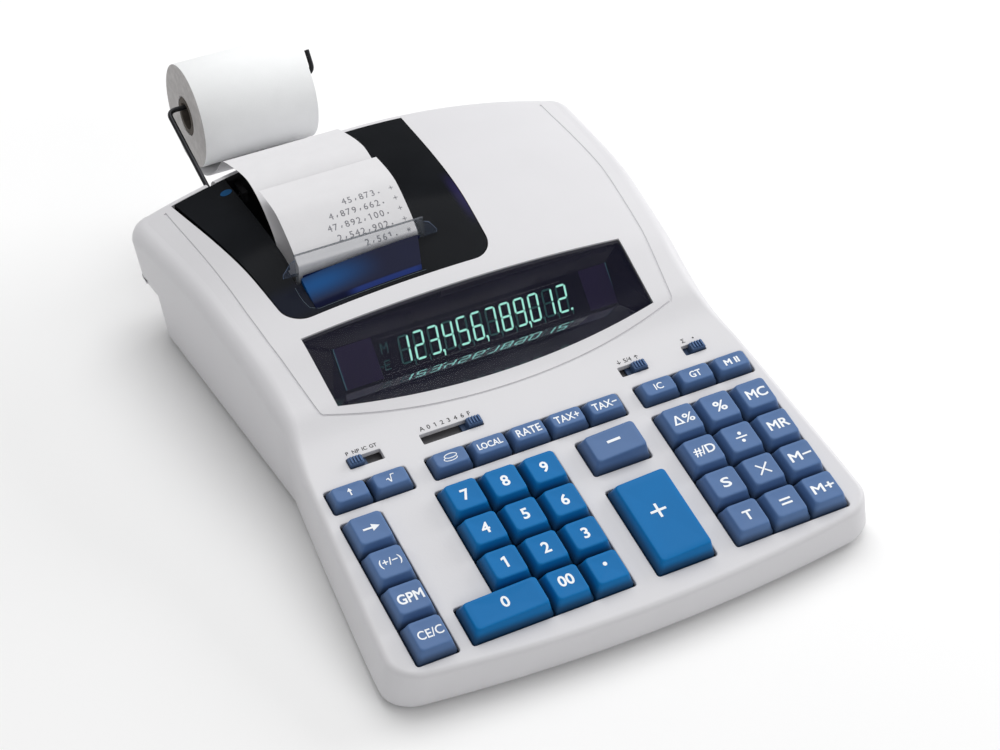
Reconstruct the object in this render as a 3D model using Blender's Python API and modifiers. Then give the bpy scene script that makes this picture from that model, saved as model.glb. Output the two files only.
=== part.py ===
"""Desk printing calculator with a paper roll, modelled piece by piece at its real size.

Metres, +Z up. X runs to the user's right, Y runs from the user to the paper roll, and the origin
lies on the table under the middle of the whole object. Places along the depth are given from the
front edge of the case, and places on the sloping keyboard deck are given along its slope.
"""
import math

import bmesh
import bpy
from mathutils import Matrix, Vector

MM = 0.001

# Case outline: half widths at the deck's front, at the waist and at the rear, above and below
CASE_DEPTH = 293.9 * MM
FRONT_HALF_WIDTH = 112.6 * MM
WAIST_HALF_WIDTH = 102.5 * MM
REAR_HALF_WIDTH = 114.9 * MM
FRONT_FLARE = 2.3 * MM
WAIST_TUCK = 3.0 * MM
REAR_TUCK = 6.5 * MM
FRONT_FOOT_HALF_WIDTH = FRONT_HALF_WIDTH + FRONT_FLARE
WAIST_FOOT_HALF_WIDTH = WAIST_HALF_WIDTH - WAIST_TUCK
REAR_FOOT_HALF_WIDTH = REAR_HALF_WIDTH - REAR_TUCK
WAIST_FROM_FRONT = 138.0 * MM
FRONT_BULGE = 9.0 * MM
BULGE_FADE = 60.0 * MM
FRONT_CORNER_RADIUS = 13.0 * MM
REAR_CORNER_RADIUS = 11.0 * MM
DECK_EDGE_RADIUS = 3.0 * MM
HUMP_EDGE_RADIUS = 8.0 * MM
EDGE_BLEND_FROM = 105.0 * MM
EDGE_BLEND_TO = 160.0 * MM
WALL = 2.4 * MM

# Case heights
DECK_FRONT_HEIGHT = 18.5 * MM
DECK_TILT = math.radians(11.3)
HUMP_FROM_FRONT = 118.0 * MM
HUMP_RISE = 15.4 * MM
CROWN_DROP = 20.5 * MM
TOP_EDGE_FROM_FRONT = 286.7 * MM
SKIRT_BOTTOM = 5.3 * MM
UNDERCUT_FROM_FRONT = 268.0 * MM
OVERHANG_BOTTOM = 29.0 * MM

# Base, feet and posts
FOOT_RADIUS = 6.0 * MM
FOOT_INSET = 17.0 * MM
BASE_BOTTOM = 2.0 * MM
BASE_WALL = 2.0 * MM
BASE_CHAMFER = 0.8 * MM
BASE_INSET = 0.8 * MM
BASE_REAR_FROM_FRONT = 281.3 * MM
BASE_LIP_HEIGHT = 7.0 * MM
LIP_SLACK = 1.8 * MM
POST_RADIUS = 3.0 * MM
GLAND_X = 62.0 * MM
GLAND_HEIGHT = 15.0 * MM
GLAND_RADIUS = 4.5 * MM
GLAND_REACH = 5.5 * MM

# Clearances
GAP = 0.3 * MM
OVERRUN = 5.0 * MM

# Keys
KEY_PITCH = 18.4 * MM
KEY_SPACING = 0.8 * MM
KEY_TOP_INSET = 2.0 * MM
KEY_HEIGHT = 5.9 * MM
KEY_SKIRT = 3.6 * MM
KEY_CORNER = 1.6 * MM
KEY_RIM = 1.6 * MM
KEY_DISH = 0.5 * MM
OPERATOR_LEAN = 1.6 * MM
STEM_WIDTH = 3.6 * MM
STEM_LENGTH = 8.2 * MM
SMALL_KEY_DEPTH = 10.9 * MM
SMALL_KEY_TOP_INSET = 1.7 * MM
SMALL_KEY_HEIGHT = 4.4 * MM
WELL_SLACK = 0.4 * MM
WELL_CORNER = 1.3 * MM

# Key rows along the deck's slope, and column centres
BOTTOM_ROW = 21.5 * MM
SMALL_ROW = 97.6 * MM
LEFT_COLUMN = -91.6 * MM
NUMBER_COLUMN = -48.5 * MM
OPERATOR_COLUMN = 22.1 * MM
FUNCTION_COLUMN = 55.0 * MM
SMALL_LEFT = -91.2 * MM
SMALL_MIDDLE = -45.1 * MM
SMALL_RIGHT = 55.2 * MM

# Slide switches: slot centre, slot length and knob travel
SWITCH_ROW = 113.3 * MM
SLOT_DEPTH = 5.4 * MM
KNOB_WIDTH = 6.6 * MM
KNOB_DEPTH = 4.4 * MM
KNOB_RISE = 2.0 * MM
KNOB_RIDGE = 1.2 * MM
KNOB_EDGE = 0.5 * MM
RIDGE_INSET = 0.75 * MM
RIDGE_TOP_INSET = 1.0 * MM
SLIDER_LIP = 2.2 * MM
SLIDER_THICK = 1.4 * MM
SWITCH_EDGE_LEFT = 25.6 * MM
SWITCH_EDGE_RIGHT = 20.1 * MM
PRINT_SWITCH_X = SWITCH_EDGE_LEFT - WAIST_HALF_WIDTH
PRINT_SLOT = 15.9 * MM
DECIMAL_SWITCH_X = -36.6 * MM
DECIMAL_SLOT = 28.4 * MM
ROUND_SWITCH_X = 51.7 * MM
ROUND_SLOT = 13.1 * MM
ITEM_SWITCH_X = WAIST_HALF_WIDTH - SWITCH_EDGE_RIGHT
ITEM_SLOT = 10.4 * MM

# Key plate under the deck
PLATE_DEPTH = 9.2 * MM
PLATE_THICK = 2.0 * MM
PLATE_LENGTH = 95.0 * MM
PLATE_WIDTH = 195.0 * MM
PLATE_CENTRE = 62.5 * MM
STEM_HOLE = 4.4 * MM

# Display
LENS_TOP = 172.6 * MM
LENS_BOTTOM = 137.8 * MM
LENS_BULGE = 7.6 * MM
LENS_TOP_HALF = 78.2 * MM
LENS_BOTTOM_HALF = 77.0 * MM
LENS_THICK = 2.0 * MM
LENS_RECESS = 0.4 * MM
TUBE_WIDTH = 136.0 * MM
TUBE_HEIGHT = 21.0 * MM
TUBE_THICK = 7.0 * MM
TUBE_DEPTH = 10.0 * MM
TUBE_FROM_FRONT = 158.0 * MM
TUBE_TILT = math.radians(45.0)

# Printer bay and its cover
COVER_FRONT = 180.8 * MM
COVER_FRONT_LEFT = -79.2 * MM
COVER_FRONT_RIGHT = 20.0 * MM
COVER_REAR_LEFT = -93.2 * MM
COVER_REAR_RIGHT = 24.1 * MM
COVER_CORNER = 10.0 * MM
COVER_THICK = 2.2 * MM
COVER_GAP = 0.4 * MM
HINGE_SLACK = 1.2 * MM
PAPER_X = -36.8 * MM
PAPER_WIDTH = 57.5 * MM
PAPER_THICK = 0.4 * MM
NOTCH_SIDE = 2.6 * MM
SLIT_SIDE = 0.9 * MM
NOTCH_FROM_FRONT = 199.2 * MM
NOTCH_LENGTH = 11.0 * MM

# Tear bar
TEAR_EDGE_FROM_FRONT = 201.9 * MM
TEAR_EDGE_HEIGHT = 82.8 * MM
TEAR_FOOT_HEIGHT = 63.0 * MM
TEAR_THICK = 1.0 * MM
CHEEK_LENGTH = 9.0 * MM
CHEEK_HEIGHT = 12.0 * MM

# Printing mechanism
PLATEN_FROM_FRONT = 211.0 * MM
PLATEN_HEIGHT = 57.0 * MM
PLATEN_RADIUS = 6.2 * MM
SHAFT_RADIUS = 1.6 * MM
FRAME_HALF_WIDTH = 32.6 * MM
FRAME_WALL = 1.4 * MM
FRAME_FRONT = 187.0 * MM
FRAME_REAR = 228.0 * MM
FRAME_TOP = 60.5 * MM
FRAME_WEB_TOP = 30.0 * MM
SHAFT_SLACK = 0.1 * MM
GEAR_TEETH = 20
PINION_TEETH = 12
GEAR_MODULE = 0.7 * MM
GEAR_WIDTH = 3.0 * MM
GEAR_STAND_OFF = 0.9 * MM
TOOTH_ROOT_SHARE = 0.27
TOOTH_TIP_SHARE = 0.09
ADDENDUM_SHARE = 0.8
STUB_LENGTH = 4.0 * MM
RIBBON_DEPTH = 10.0 * MM
RIBBON_HEIGHT = 17.0 * MM
RIBBON_BOTTOM = 42.0 * MM

# Paper roll and its wire arm
ROLL_FROM_FRONT = 335.5 * MM
ROLL_HEIGHT = 74.1 * MM
ROLL_RADIUS = 25.2 * MM
CORE_RADIUS = 9.3 * MM
CORE_BORE = 6.6 * MM
WIRE_RADIUS = 1.2 * MM
WIRE_BEND = 4.0 * MM
HOOK_LENGTH = 11.0 * MM
HOOK_ANGLE = math.radians(50)
ARM_SPREAD_TOP = 37.4 * MM
ARM_SPREAD_BASE = 35.8 * MM
ARM_PIVOT_FROM_FRONT = 284.0 * MM
ARM_PIVOT_HEIGHT = 59.5 * MM
ARM_NOTCH = 3.6 * MM
ARM_NOTCH_BOTTOM = 60.6 * MM
LUG_SPREAD = 22.0 * MM
LUG_THICK = 3.0 * MM
LUG_SLACK = 0.15 * MM
PIVOT_END = 26.0 * MM

# Paper strip: the arch between roll and platen, and the printed end that stands up
ARCH_HEIGHT = 86.0 * MM
EXIT_FROM_FRONT = 201.9 * MM
EXIT_HEIGHT = 73.1 * MM
PRINTED_RISE = 16.4 * MM
PRINTED_REACH = 42.6 * MM

# Facet counts, and the angles up to which facets are shaded smooth
SHELL_SMOOTH = math.radians(30)
ROUND_SMOOTH = math.radians(40)
CORNER_STEPS = 3
MIDDLE_COLUMNS = 10
DECK_ROWS = 4
HUMP_ROWS = 15
EDGE_STEPS = 3
ROLL_SIDES = 48
ROUND_SIDES = 24
POST_SIDES = 10
SHAFT_SIDES = 12
LENS_ARC_STEPS = 10
ROUTE_STEPS = 3

# Worked out from the sizes above
TOTAL_DEPTH = ROLL_FROM_FRONT + ROLL_RADIUS
FRONT_Y = -TOTAL_DEPTH / 2
HUMP_LENGTH = TOP_EDGE_FROM_FRONT - HUMP_FROM_FRONT
ROLL_Y = FRONT_Y + ROLL_FROM_FRONT
WIRE_HEIGHT = ROLL_HEIGHT + CORE_BORE - WIRE_RADIUS - GAP
PLATEN_Y = FRONT_Y + PLATEN_FROM_FRONT
SKY = ROLL_HEIGHT + ROLL_RADIUS + OVERRUN

# How the middle of the hump rises above the deck's plane: share of its length, share of its rise
hump_rise_shares = (
    (0.0, 0.0), (0.055, 0.04), (0.141, 0.29), (0.227, 0.56), (0.313, 0.80),
    (0.456, 0.96), (0.60, 1.0), (0.77, 0.68), (1.0, 0.0))
CROWN_POWER = 2.3
FRONT_TAPER_POWER = 1.3

# The paper between roll and platen: share of that distance, share of the arch's height
feed_shares = (
    (1.0, 0.0), (0.907, 0.04), (0.829, 0.126), (0.744, 0.33), (0.684, 0.548), (0.655, 0.67),
    (0.623, 0.765), (0.58, 0.825), (0.503, 0.91), (0.425, 0.98), (0.355, 1.0), (0.262, 0.914),
    (0.16, 0.70), (0.09, 0.42))
# The printed end: share of its reach to the rear, share of its rise
printed_shares = (
    (0.0, 0.0), (0.05, 0.236), (0.22, 0.56), (0.48, 0.91), (0.66, 1.0), (0.853, 0.99), (1.0, 0.96))
WRAP_ANGLES = (15, -15, -45, -75, -105, -135, -165, -190)


def clear_scene():
    """Remove whatever the file holds, so that the script can run again."""
    for old in list(bpy.data.objects):
        bpy.data.objects.remove(old, do_unlink=True)


def make_collection(name):
    """Return a new collection in the scene."""
    made = bpy.data.collections.new(name)
    bpy.context.scene.collection.children.link(made)
    return made


def make_material(name, colour, roughness, metallic=0.0, alpha=1.0):
    """Return a Principled material."""
    made = bpy.data.materials.new(name)
    made.use_nodes = True
    shader = made.node_tree.nodes["Principled BSDF"]
    shader.inputs["Base Color"].default_value = (*colour, 1.0)
    shader.inputs["Roughness"].default_value = roughness
    shader.inputs["Metallic"].default_value = metallic
    shader.inputs["Alpha"].default_value = alpha
    made.diffuse_color = (*colour, alpha)
    return made


def add_object(name, mesh, collection, material=None, parent=None):
    """Link a mesh as a named object."""
    made = bpy.data.objects.new(name, mesh)
    collection.objects.link(made)
    if material is not None:
        mesh.materials.clear()
        mesh.materials.append(material)
    made.parent = parent
    return made


def finish_mesh(name, shape, smooth_angle=None):
    """Turn a bmesh into a mesh, shaded smooth where an angle is given."""
    bmesh.ops.recalc_face_normals(shape, faces=shape.faces)
    mesh = bpy.data.meshes.new(name)
    shape.to_mesh(mesh)
    shape.free()
    if smooth_angle is not None:
        mesh.shade_smooth()
        mesh.set_sharp_from_angle(angle=smooth_angle)
    return mesh


def box_mesh(name, low, high):
    """Mesh of a box between two corners."""
    shape = bmesh.new()
    bmesh.ops.create_cube(shape, size=1.0)
    size = Vector(high) - Vector(low)
    middle = (Vector(high) + Vector(low)) / 2
    bmesh.ops.scale(shape, vec=size, verts=shape.verts)
    bmesh.ops.translate(shape, vec=middle, verts=shape.verts)
    return finish_mesh(name, shape)


def rod_mesh(name, radius, half_length, sides=ROUND_SIDES, inner=None):
    """Mesh of a rod or tube along X, centred on the origin."""
    shape = bmesh.new()
    rings = []
    for wall in ([radius] if inner is None else [radius, inner]):
        for end in (-half_length, half_length):
            ring = []
            for step in range(sides):
                turn = math.tau * step / sides
                ring.append(shape.verts.new((end, wall * math.cos(turn), wall * math.sin(turn))))
            rings.append(ring)
    pairs = [(0, 1)] if inner is None else [(0, 1), (1, 3), (3, 2), (2, 0)]
    for first, second in pairs:
        for step in range(sides):
            after = (step + 1) % sides
            shape.faces.new((rings[first][step], rings[first][after],
                             rings[second][after], rings[second][step]))
    if inner is None:
        shape.faces.new(rings[0])
        shape.faces.new(rings[1])
    return finish_mesh(name, shape, ROUND_SMOOTH)


def prism_mesh(name, outline, low, high, rounded=(), radius=0.0, steps=3):
    """Mesh of a flat outline pulled up from low to high, some of its upright edges rounded."""
    shape = bmesh.new()
    face = shape.faces.new([shape.verts.new((x, y, low)) for x, y in outline])
    pulled = bmesh.ops.extrude_face_region(shape, geom=[face])
    top = [item for item in pulled["geom"] if isinstance(item, bmesh.types.BMVert)]
    bmesh.ops.translate(shape, vec=(0, 0, high - low), verts=top)
    if rounded:
        shape.verts.ensure_lookup_table()
        corners = [Vector(outline[index]) for index in rounded]
        edges = [edge for edge in shape.edges
                 if abs(edge.verts[0].co.z - edge.verts[1].co.z) > (high - low) / 2
                 and any((edge.verts[0].co.xy - corner).length < GAP for corner in corners)]
        bmesh.ops.bevel(shape, geom=edges, offset=radius, segments=steps, profile=0.5,
                        affect='EDGES')
    return finish_mesh(name, shape)


def profile_mesh(name, outline, low_x, high_x, smooth_angle=None):
    """Mesh of an outline in the Y-Z plane pulled along X."""
    shape = bmesh.new()
    face = shape.faces.new([shape.verts.new((low_x, y, z)) for y, z in outline])
    pulled = bmesh.ops.extrude_face_region(shape, geom=[face])
    far = [item for item in pulled["geom"] if isinstance(item, bmesh.types.BMVert)]
    bmesh.ops.translate(shape, vec=(high_x - low_x, 0, 0), verts=far)
    return finish_mesh(name, shape, smooth_angle)


def cutter(name, mesh, collection, parent=None):
    """Link a mesh as a cutter, which the model leaves out."""
    made = add_object(name, mesh, collection, parent=parent)
    made.hide_render = True
    made.display_type = 'WIRE'
    return made


def boolean(target, tool, operation='DIFFERENCE'):
    """Add a Boolean modifier with an object or a collection of cutters."""
    modifier = target.modifiers.new(operation.lower(), 'BOOLEAN')
    modifier.operation = operation
    modifier.solver = 'EXACT'
    if isinstance(tool, bpy.types.Collection):
        modifier.operand_type = 'COLLECTION'
        modifier.collection = tool
    else:
        modifier.object = tool
    return modifier


def smooth_table(table, share):
    """Read a table of pairs as a smooth curve through its points."""
    if share <= table[0][0]:
        return table[0][1]
    if share >= table[-1][0]:
        return table[-1][1]

    def slope(index):
        before = table[max(index - 1, 0)]
        after = table[min(index + 1, len(table) - 1)]
        return (after[1] - before[1]) / (after[0] - before[0])

    index = max(i for i, point in enumerate(table[:-1]) if point[0] <= share)
    start, end = table[index], table[index + 1]
    span = end[0] - start[0]
    t = (share - start[0]) / span
    return ((2 * t ** 3 - 3 * t ** 2 + 1) * start[1] + (t ** 3 - 2 * t ** 2 + t) * span * slope(index)
            + (3 * t ** 2 - 2 * t ** 3) * end[1] + (t ** 3 - t ** 2) * span * slope(index + 1))


def blend(low, high, value):
    """Rise smoothly from 0 at low to 1 at high."""
    share = min(max((value - low) / (high - low), 0.0), 1.0)
    return share * share * (3 - 2 * share)


def half_width(depth, front, waist, rear):
    """Half width of an outline that narrows to the waist and widens again."""
    if depth < WAIST_FROM_FRONT:
        share = max(depth, 0.0) / WAIST_FROM_FRONT
        return front + (waist - front) * share ** FRONT_TAPER_POWER
    share = (depth - WAIST_FROM_FRONT) / (CASE_DEPTH - WAIST_FROM_FRONT)
    return waist + (rear - waist) * share


def upper_width(depth):
    """Half width of the case at its upper edge."""
    return half_width(depth, FRONT_HALF_WIDTH, WAIST_HALF_WIDTH, REAR_HALF_WIDTH)


def lower_width(depth):
    """Half width of the case at its lower edge."""
    return half_width(depth, FRONT_FOOT_HALF_WIDTH, WAIST_FOOT_HALF_WIDTH, REAR_FOOT_HALF_WIDTH)


def surface_height(x, depth):
    """Height of the top surface: the flat deck, then the crowned hump."""
    deck = DECK_FRONT_HEIGHT + math.tan(DECK_TILT) * depth
    rise = HUMP_RISE * smooth_table(hump_rise_shares, (depth - HUMP_FROM_FRONT) / HUMP_LENGTH)
    along = (depth - WAIST_FROM_FRONT) / (TOP_EDGE_FROM_FRONT - WAIST_FROM_FRONT)
    along = min(max(along, 0.0), 1.0)
    crown = CROWN_DROP * (1 - (1 - along) ** CROWN_POWER)
    return deck + rise - crown * (x / REAR_HALF_WIDTH) ** 2


def edge_radius(depth):
    """Radius of the rounded upper edge, tight on the deck and soft on the hump."""
    share = blend(EDGE_BLEND_FROM, EDGE_BLEND_TO, depth)
    return DECK_EDGE_RADIUS + (HUMP_EDGE_RADIUS - DECK_EDGE_RADIUS) * share


def grid_stations(depth_end):
    """Columns and rows of the case's grid: a base place and a share of the corner radius."""
    corner = [math.sin(math.pi / 2 * step / CORNER_STEPS) for step in range(1, CORNER_STEPS + 1)]
    columns = [(-1.0, -share) for share in reversed(corner)]
    columns += [(-1.0 + 2.0 * step / MIDDLE_COLUMNS, 0.0) for step in range(MIDDLE_COLUMNS + 1)]
    columns += [(1.0, share) for share in corner]
    rows = [(FRONT_CORNER_RADIUS, -share) for share in reversed(corner)]
    deck_length = HUMP_FROM_FRONT - FRONT_CORNER_RADIUS
    rows += [(FRONT_CORNER_RADIUS + deck_length * step / DECK_ROWS, 0.0) for step in range(DECK_ROWS)]
    hump_end = depth_end - REAR_CORNER_RADIUS
    hump_length = hump_end - HUMP_FROM_FRONT
    rows += [(HUMP_FROM_FRONT + hump_length * step / HUMP_ROWS, 0.0) for step in range(HUMP_ROWS + 1)]
    rows += [(hump_end, share) for share in corner]
    return columns, rows


def outline_place(column, row, width, inset):
    """Place of one grid point on an outline drawn inwards by inset."""
    base_x, corner_x = column
    depth, corner_y = row
    radius = FRONT_CORNER_RADIUS if corner_y < 0 else REAR_CORNER_RADIUS
    round_x = corner_x * math.sqrt(1 - corner_y ** 2 / 2)
    round_y = corner_y * math.sqrt(1 - corner_x ** 2 / 2)
    half = width(depth)
    x = base_x * (half - radius) + round_x * (radius - inset)
    place = depth + round_y * (radius - inset)
    fade = max(0.0, 1 - place / BULGE_FADE)
    return x, place + FRONT_BULGE * (x / half) ** 2 * fade


def loop_stations(columns, rows):
    """The grid's outer points in order, anticlockwise from above."""
    last_column = len(columns) - 1
    last_row = len(rows) - 1
    around = [(i, 0) for i in range(last_column)]
    around += [(last_column, j) for j in range(last_row)]
    around += [(i, last_row) for i in range(last_column, 0, -1)]
    around += [(0, j) for j in range(last_row, 0, -1)]
    return around


def bridge(shape, first, second):
    """Join two closed rings of points with faces."""
    count = len(first)
    for step in range(count):
        after = (step + 1) % count
        shape.faces.new((first[step], first[after], second[after], second[step]))


def case_skin(name, thickness, collection, material=None):
    """The case's outer skin: crowned top, rounded edge and side walls, given a wall inwards."""
    columns, rows = grid_stations(CASE_DEPTH)
    shape = bmesh.new()
    grid = []
    for column in columns:
        line = []
        for row in rows:
            x, depth = outline_place(column, row, upper_width, edge_radius(row[0]))
            line.append(shape.verts.new((x, FRONT_Y + depth, surface_height(x, depth))))
        grid.append(line)
    for i in range(len(columns) - 1):
        for j in range(len(rows) - 1):
            shape.faces.new((grid[i][j], grid[i + 1][j], grid[i + 1][j + 1], grid[i][j + 1]))
    around = loop_stations(columns, rows)
    ring = [grid[i][j] for i, j in around]
    heights = [vert.co.z for vert in ring]
    for step in range(1, EDGE_STEPS + 1):
        angle = math.pi / 2 * (1 - step / EDGE_STEPS)
        below = []
        for (i, j), height in zip(around, heights):
            radius = edge_radius(rows[j][0])
            x, depth = outline_place(columns[i], rows[j], upper_width, radius * (1 - math.cos(angle)))
            z = height - radius * (1 - math.sin(angle))
            below.append(shape.verts.new((x, FRONT_Y + depth, z)))
        bridge(shape, below, ring)
        ring = below
    foot = []
    for i, j in around:
        x, depth = outline_place(columns[i], rows[j], lower_width, 0.0)
        foot.append(shape.verts.new((x, FRONT_Y + depth, SKIRT_BOTTOM)))
    bridge(shape, foot, ring)
    mesh = finish_mesh(name, shape, SHELL_SMOOTH)
    made = add_object(name, mesh, collection, material)
    wall = made.modifiers.new("wall", 'SOLIDIFY')
    wall.thickness = thickness
    wall.offset = -1.0
    wall.use_even_offset = True
    return made


def base_shell(collection, material):
    """The lower case: a tray with a locating lip all round, inside the skirt."""
    columns, rows = grid_stations(BASE_REAR_FROM_FRONT)
    around = loop_stations(columns, rows)
    shape = bmesh.new()
    lip_inset = WALL + LIP_SLACK
    step_height = SKIRT_BOTTOM - 2 * GAP
    lip_top = step_height + BASE_LIP_HEIGHT
    levels = ((BASE_INSET + BASE_CHAMFER, BASE_BOTTOM), (BASE_INSET, BASE_BOTTOM + BASE_CHAMFER),
              (BASE_INSET, step_height), (lip_inset, step_height), (lip_inset, lip_top),
              (lip_inset + BASE_WALL, lip_top), (lip_inset + BASE_WALL, BASE_BOTTOM + BASE_WALL))
    rings = []
    for inset, height in levels:
        ring = []
        for i, j in around:
            x, depth = outline_place(columns[i], rows[j], lower_width, inset)
            ring.append(shape.verts.new((x, FRONT_Y + depth, height)))
        rings.append(ring)
    shape.faces.new(rings[0])
    shape.faces.new(rings[-1])
    for first, second in zip(rings, rings[1:]):
        bridge(shape, first, second)
    mesh = finish_mesh("base_case", shape, SHELL_SMOOTH)
    return add_object("base_case", mesh, collection, material)


def rear_wall_outline():
    """The base's raised rear wall seen from above: it turns forward and ends inside the skirt."""
    rear = BASE_REAR_FROM_FRONT - REAR_CORNER_RADIUS
    overlap = GAP / 3
    outer_inset = BASE_INSET + overlap
    lip_inset = WALL + LIP_SLACK + overlap
    lip_wall = BASE_WALL - 2 * overlap
    corner = [math.sin(math.pi / 2 * step / CORNER_STEPS) for step in range(CORNER_STEPS + 1)]
    turn = [(1.0, rise) for rise in corner] + [(run, 1.0) for run in reversed(corner[:-1])]

    def path(straight, inset):
        made = [(lower_width(depth) - shift, depth) for depth, shift in straight]
        made += [outline_place((1.0, x_share), (rear, y_share), lower_width, inset)
                 for x_share, y_share in turn]
        return made

    start = UNDERCUT_FROM_FRONT - OVERRUN
    step = UNDERCUT_FROM_FRONT + GAP
    outer = path([(start, lip_inset), (step, lip_inset), (step, outer_inset)], outer_inset)
    inner = path([(start, lip_inset + lip_wall), (rear, lip_inset + lip_wall)],
                 outer_inset + BASE_WALL)
    whole = outer + [(-x, depth) for x, depth in reversed(outer)]
    whole += [(-x, depth) for x, depth in inner] + inner[::-1]
    return [(x, FRONT_Y + depth) for x, depth in whole]


def deck_point(x, along, above=0.0):
    """World place of a point on the deck, given along its slope from the front."""
    y = FRONT_Y + along * math.cos(DECK_TILT) - above * math.sin(DECK_TILT)
    z = DECK_FRONT_HEIGHT + along * math.sin(DECK_TILT) + above * math.cos(DECK_TILT)
    return Vector((x, y, z))


def make_deck():
    """Empty in the deck's plane at its front edge; keys, knobs and wells hang on it."""
    deck = bpy.data.objects.new("deck", None)
    bpy.context.scene.collection.objects.link(deck)
    deck.location = (0, FRONT_Y, DECK_FRONT_HEIGHT)
    deck.rotation_euler = (DECK_TILT, 0, 0)
    return deck


def keycap_mesh(name, width, depth, height, inset, lean=0.0):
    """A keycap: straight skirt in its well, sloping sides, dished top and a stem below."""
    shape = bmesh.new()
    bmesh.ops.create_cube(shape, size=1.0)
    bmesh.ops.scale(shape, vec=(width, depth, KEY_SKIRT), verts=shape.verts)
    bmesh.ops.translate(shape, vec=(0, 0, -KEY_SKIRT / 2), verts=shape.verts)
    top = max(shape.faces, key=lambda face: face.calc_center_median().z)
    pulled = bmesh.ops.extrude_face_region(shape, geom=[top])
    bmesh.ops.delete(shape, geom=[top], context='FACES_ONLY')
    upper = [item for item in pulled["geom"] if isinstance(item, bmesh.types.BMVert)]
    bmesh.ops.translate(shape, vec=(0, 0, height), verts=upper)
    shrink = ((width - 2 * inset) / width, (depth - 2 * inset) / depth, 1.0)
    bmesh.ops.scale(shape, vec=shrink, verts=upper)
    for vert in upper:
        vert.co.z += lean if vert.co.x > 0 else 0.0
    upright = [edge for edge in shape.edges
               if abs(edge.verts[0].co.z - edge.verts[1].co.z) > KEY_SKIRT / 2]
    bmesh.ops.bevel(shape, geom=upright, offset=KEY_CORNER, segments=2, profile=0.5, affect='EDGES')
    top = max(shape.faces, key=lambda face: face.calc_center_median().z)
    bmesh.ops.inset_region(shape, faces=[top], thickness=KEY_RIM, depth=-KEY_DISH * 2 / 3)
    bmesh.ops.poke(shape, faces=[top], offset=-KEY_DISH / 3)
    under = min(shape.faces, key=lambda face: face.calc_center_median().z)
    bmesh.ops.inset_region(shape, faces=[under], thickness=min(width, depth) / 4)
    for vert in under.verts:
        vert.co.x = math.copysign(STEM_WIDTH / 2, vert.co.x)
        vert.co.y = math.copysign(STEM_WIDTH / 2, vert.co.y)
    bmesh.ops.remove_doubles(shape, verts=list(under.verts), dist=GAP / 10)
    flat = [face for face in shape.faces if abs(face.calc_center_median().z + KEY_SKIRT) < GAP / 10]
    under = min(flat, key=lambda face: face.calc_center_median().xy.length)
    pulled = bmesh.ops.extrude_face_region(shape, geom=[under])
    bmesh.ops.delete(shape, geom=[under], context='FACES_ONLY')
    lower = [item for item in pulled["geom"] if isinstance(item, bmesh.types.BMVert)]
    bmesh.ops.translate(shape, vec=(0, 0, -STEM_LENGTH), verts=lower)
    return finish_mesh(name, shape)


def key_table():
    """Every key: name, centre across, centre along the slope, width and depth in pitches."""
    number_rows = (
        (("key_1", 0), ("key_2", 1), ("key_3", 2)),
        (("key_4", 0), ("key_5", 1), ("key_6", 2)),
        (("key_7", 0), ("key_8", 1), ("key_9", 2)))
    table = []
    for row, names in enumerate(number_rows, start=1):
        for name, column in names:
            table.append((name, NUMBER_COLUMN + column * KEY_PITCH, BOTTOM_ROW + row * KEY_PITCH, 1, 1))
    table.append(("key_0", NUMBER_COLUMN - KEY_PITCH / 2, BOTTOM_ROW, 2, 1))
    table.append(("key_00", NUMBER_COLUMN + KEY_PITCH, BOTTOM_ROW, 1, 1))
    table.append(("key_point", NUMBER_COLUMN + 2 * KEY_PITCH, BOTTOM_ROW, 1, 1))
    table.append(("key_plus", OPERATOR_COLUMN, BOTTOM_ROW + 0.75 * KEY_PITCH, 1.5, 2.5))
    table.append(("key_minus", OPERATOR_COLUMN, BOTTOM_ROW + 3 * KEY_PITCH, 1.5, 1))
    left_names = ("key_clear", "key_margin", "key_sign", "key_shift")
    for row, name in enumerate(left_names):
        table.append((name, LEFT_COLUMN, BOTTOM_ROW + row * KEY_PITCH, 1, 1))
    function_names = (
        ("key_total", "key_equals", "key_memory_plus"),
        ("key_subtotal", "key_multiply", "key_memory_minus"),
        ("key_number_date", "key_divide", "key_memory_recall"),
        ("key_delta_percent", "key_percent", "key_memory_clear"))
    for row, names in enumerate(function_names):
        for column, name in enumerate(names):
            place = FUNCTION_COLUMN + column * KEY_PITCH
            table.append((name, place, BOTTOM_ROW + row * KEY_PITCH, 1, 1))
    return table


def small_key_table():
    """The row of low keys under the switches: name and centre across."""
    groups = (
        (SMALL_LEFT, ("key_up", "key_root")),
        (SMALL_MIDDLE, ("key_paper_feed", "key_local", "key_rate", "key_tax_plus", "key_tax_minus")),
        (SMALL_RIGHT, ("key_item_count", "key_grand_total", "key_memory_two")))
    return [[(name, start + step * KEY_PITCH) for step, name in enumerate(names)]
            for start, names in groups]


def make_keys(deck, collection, blue, steel):
    """One keycap for each key, placed on the deck and sliding along its normal."""
    bright = {f"key_{label}" for label in ("0", "00", "1", "2", "3", "4", "5", "6", "7", "8", "9",
                                            "point", "plus")}
    for name, x, along, wide, deep in key_table():
        width = wide * KEY_PITCH - KEY_SPACING
        depth = deep * KEY_PITCH - KEY_SPACING
        lean = OPERATOR_LEAN if wide > 1 and x > 0 else 0.0
        mesh = keycap_mesh(name, width, depth, KEY_HEIGHT, KEY_TOP_INSET, lean)
        made = add_object(name, mesh, collection, blue if name in bright else steel, deck)
        made.location = (x, along, 0)
    for group in small_key_table():
        for name, x in group:
            mesh = keycap_mesh(name, KEY_PITCH - KEY_SPACING, SMALL_KEY_DEPTH, SMALL_KEY_HEIGHT,
                               SMALL_KEY_TOP_INSET)
            made = add_object(name, mesh, collection, steel, deck)
            made.location = (x, SMALL_ROW, 0)


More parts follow.
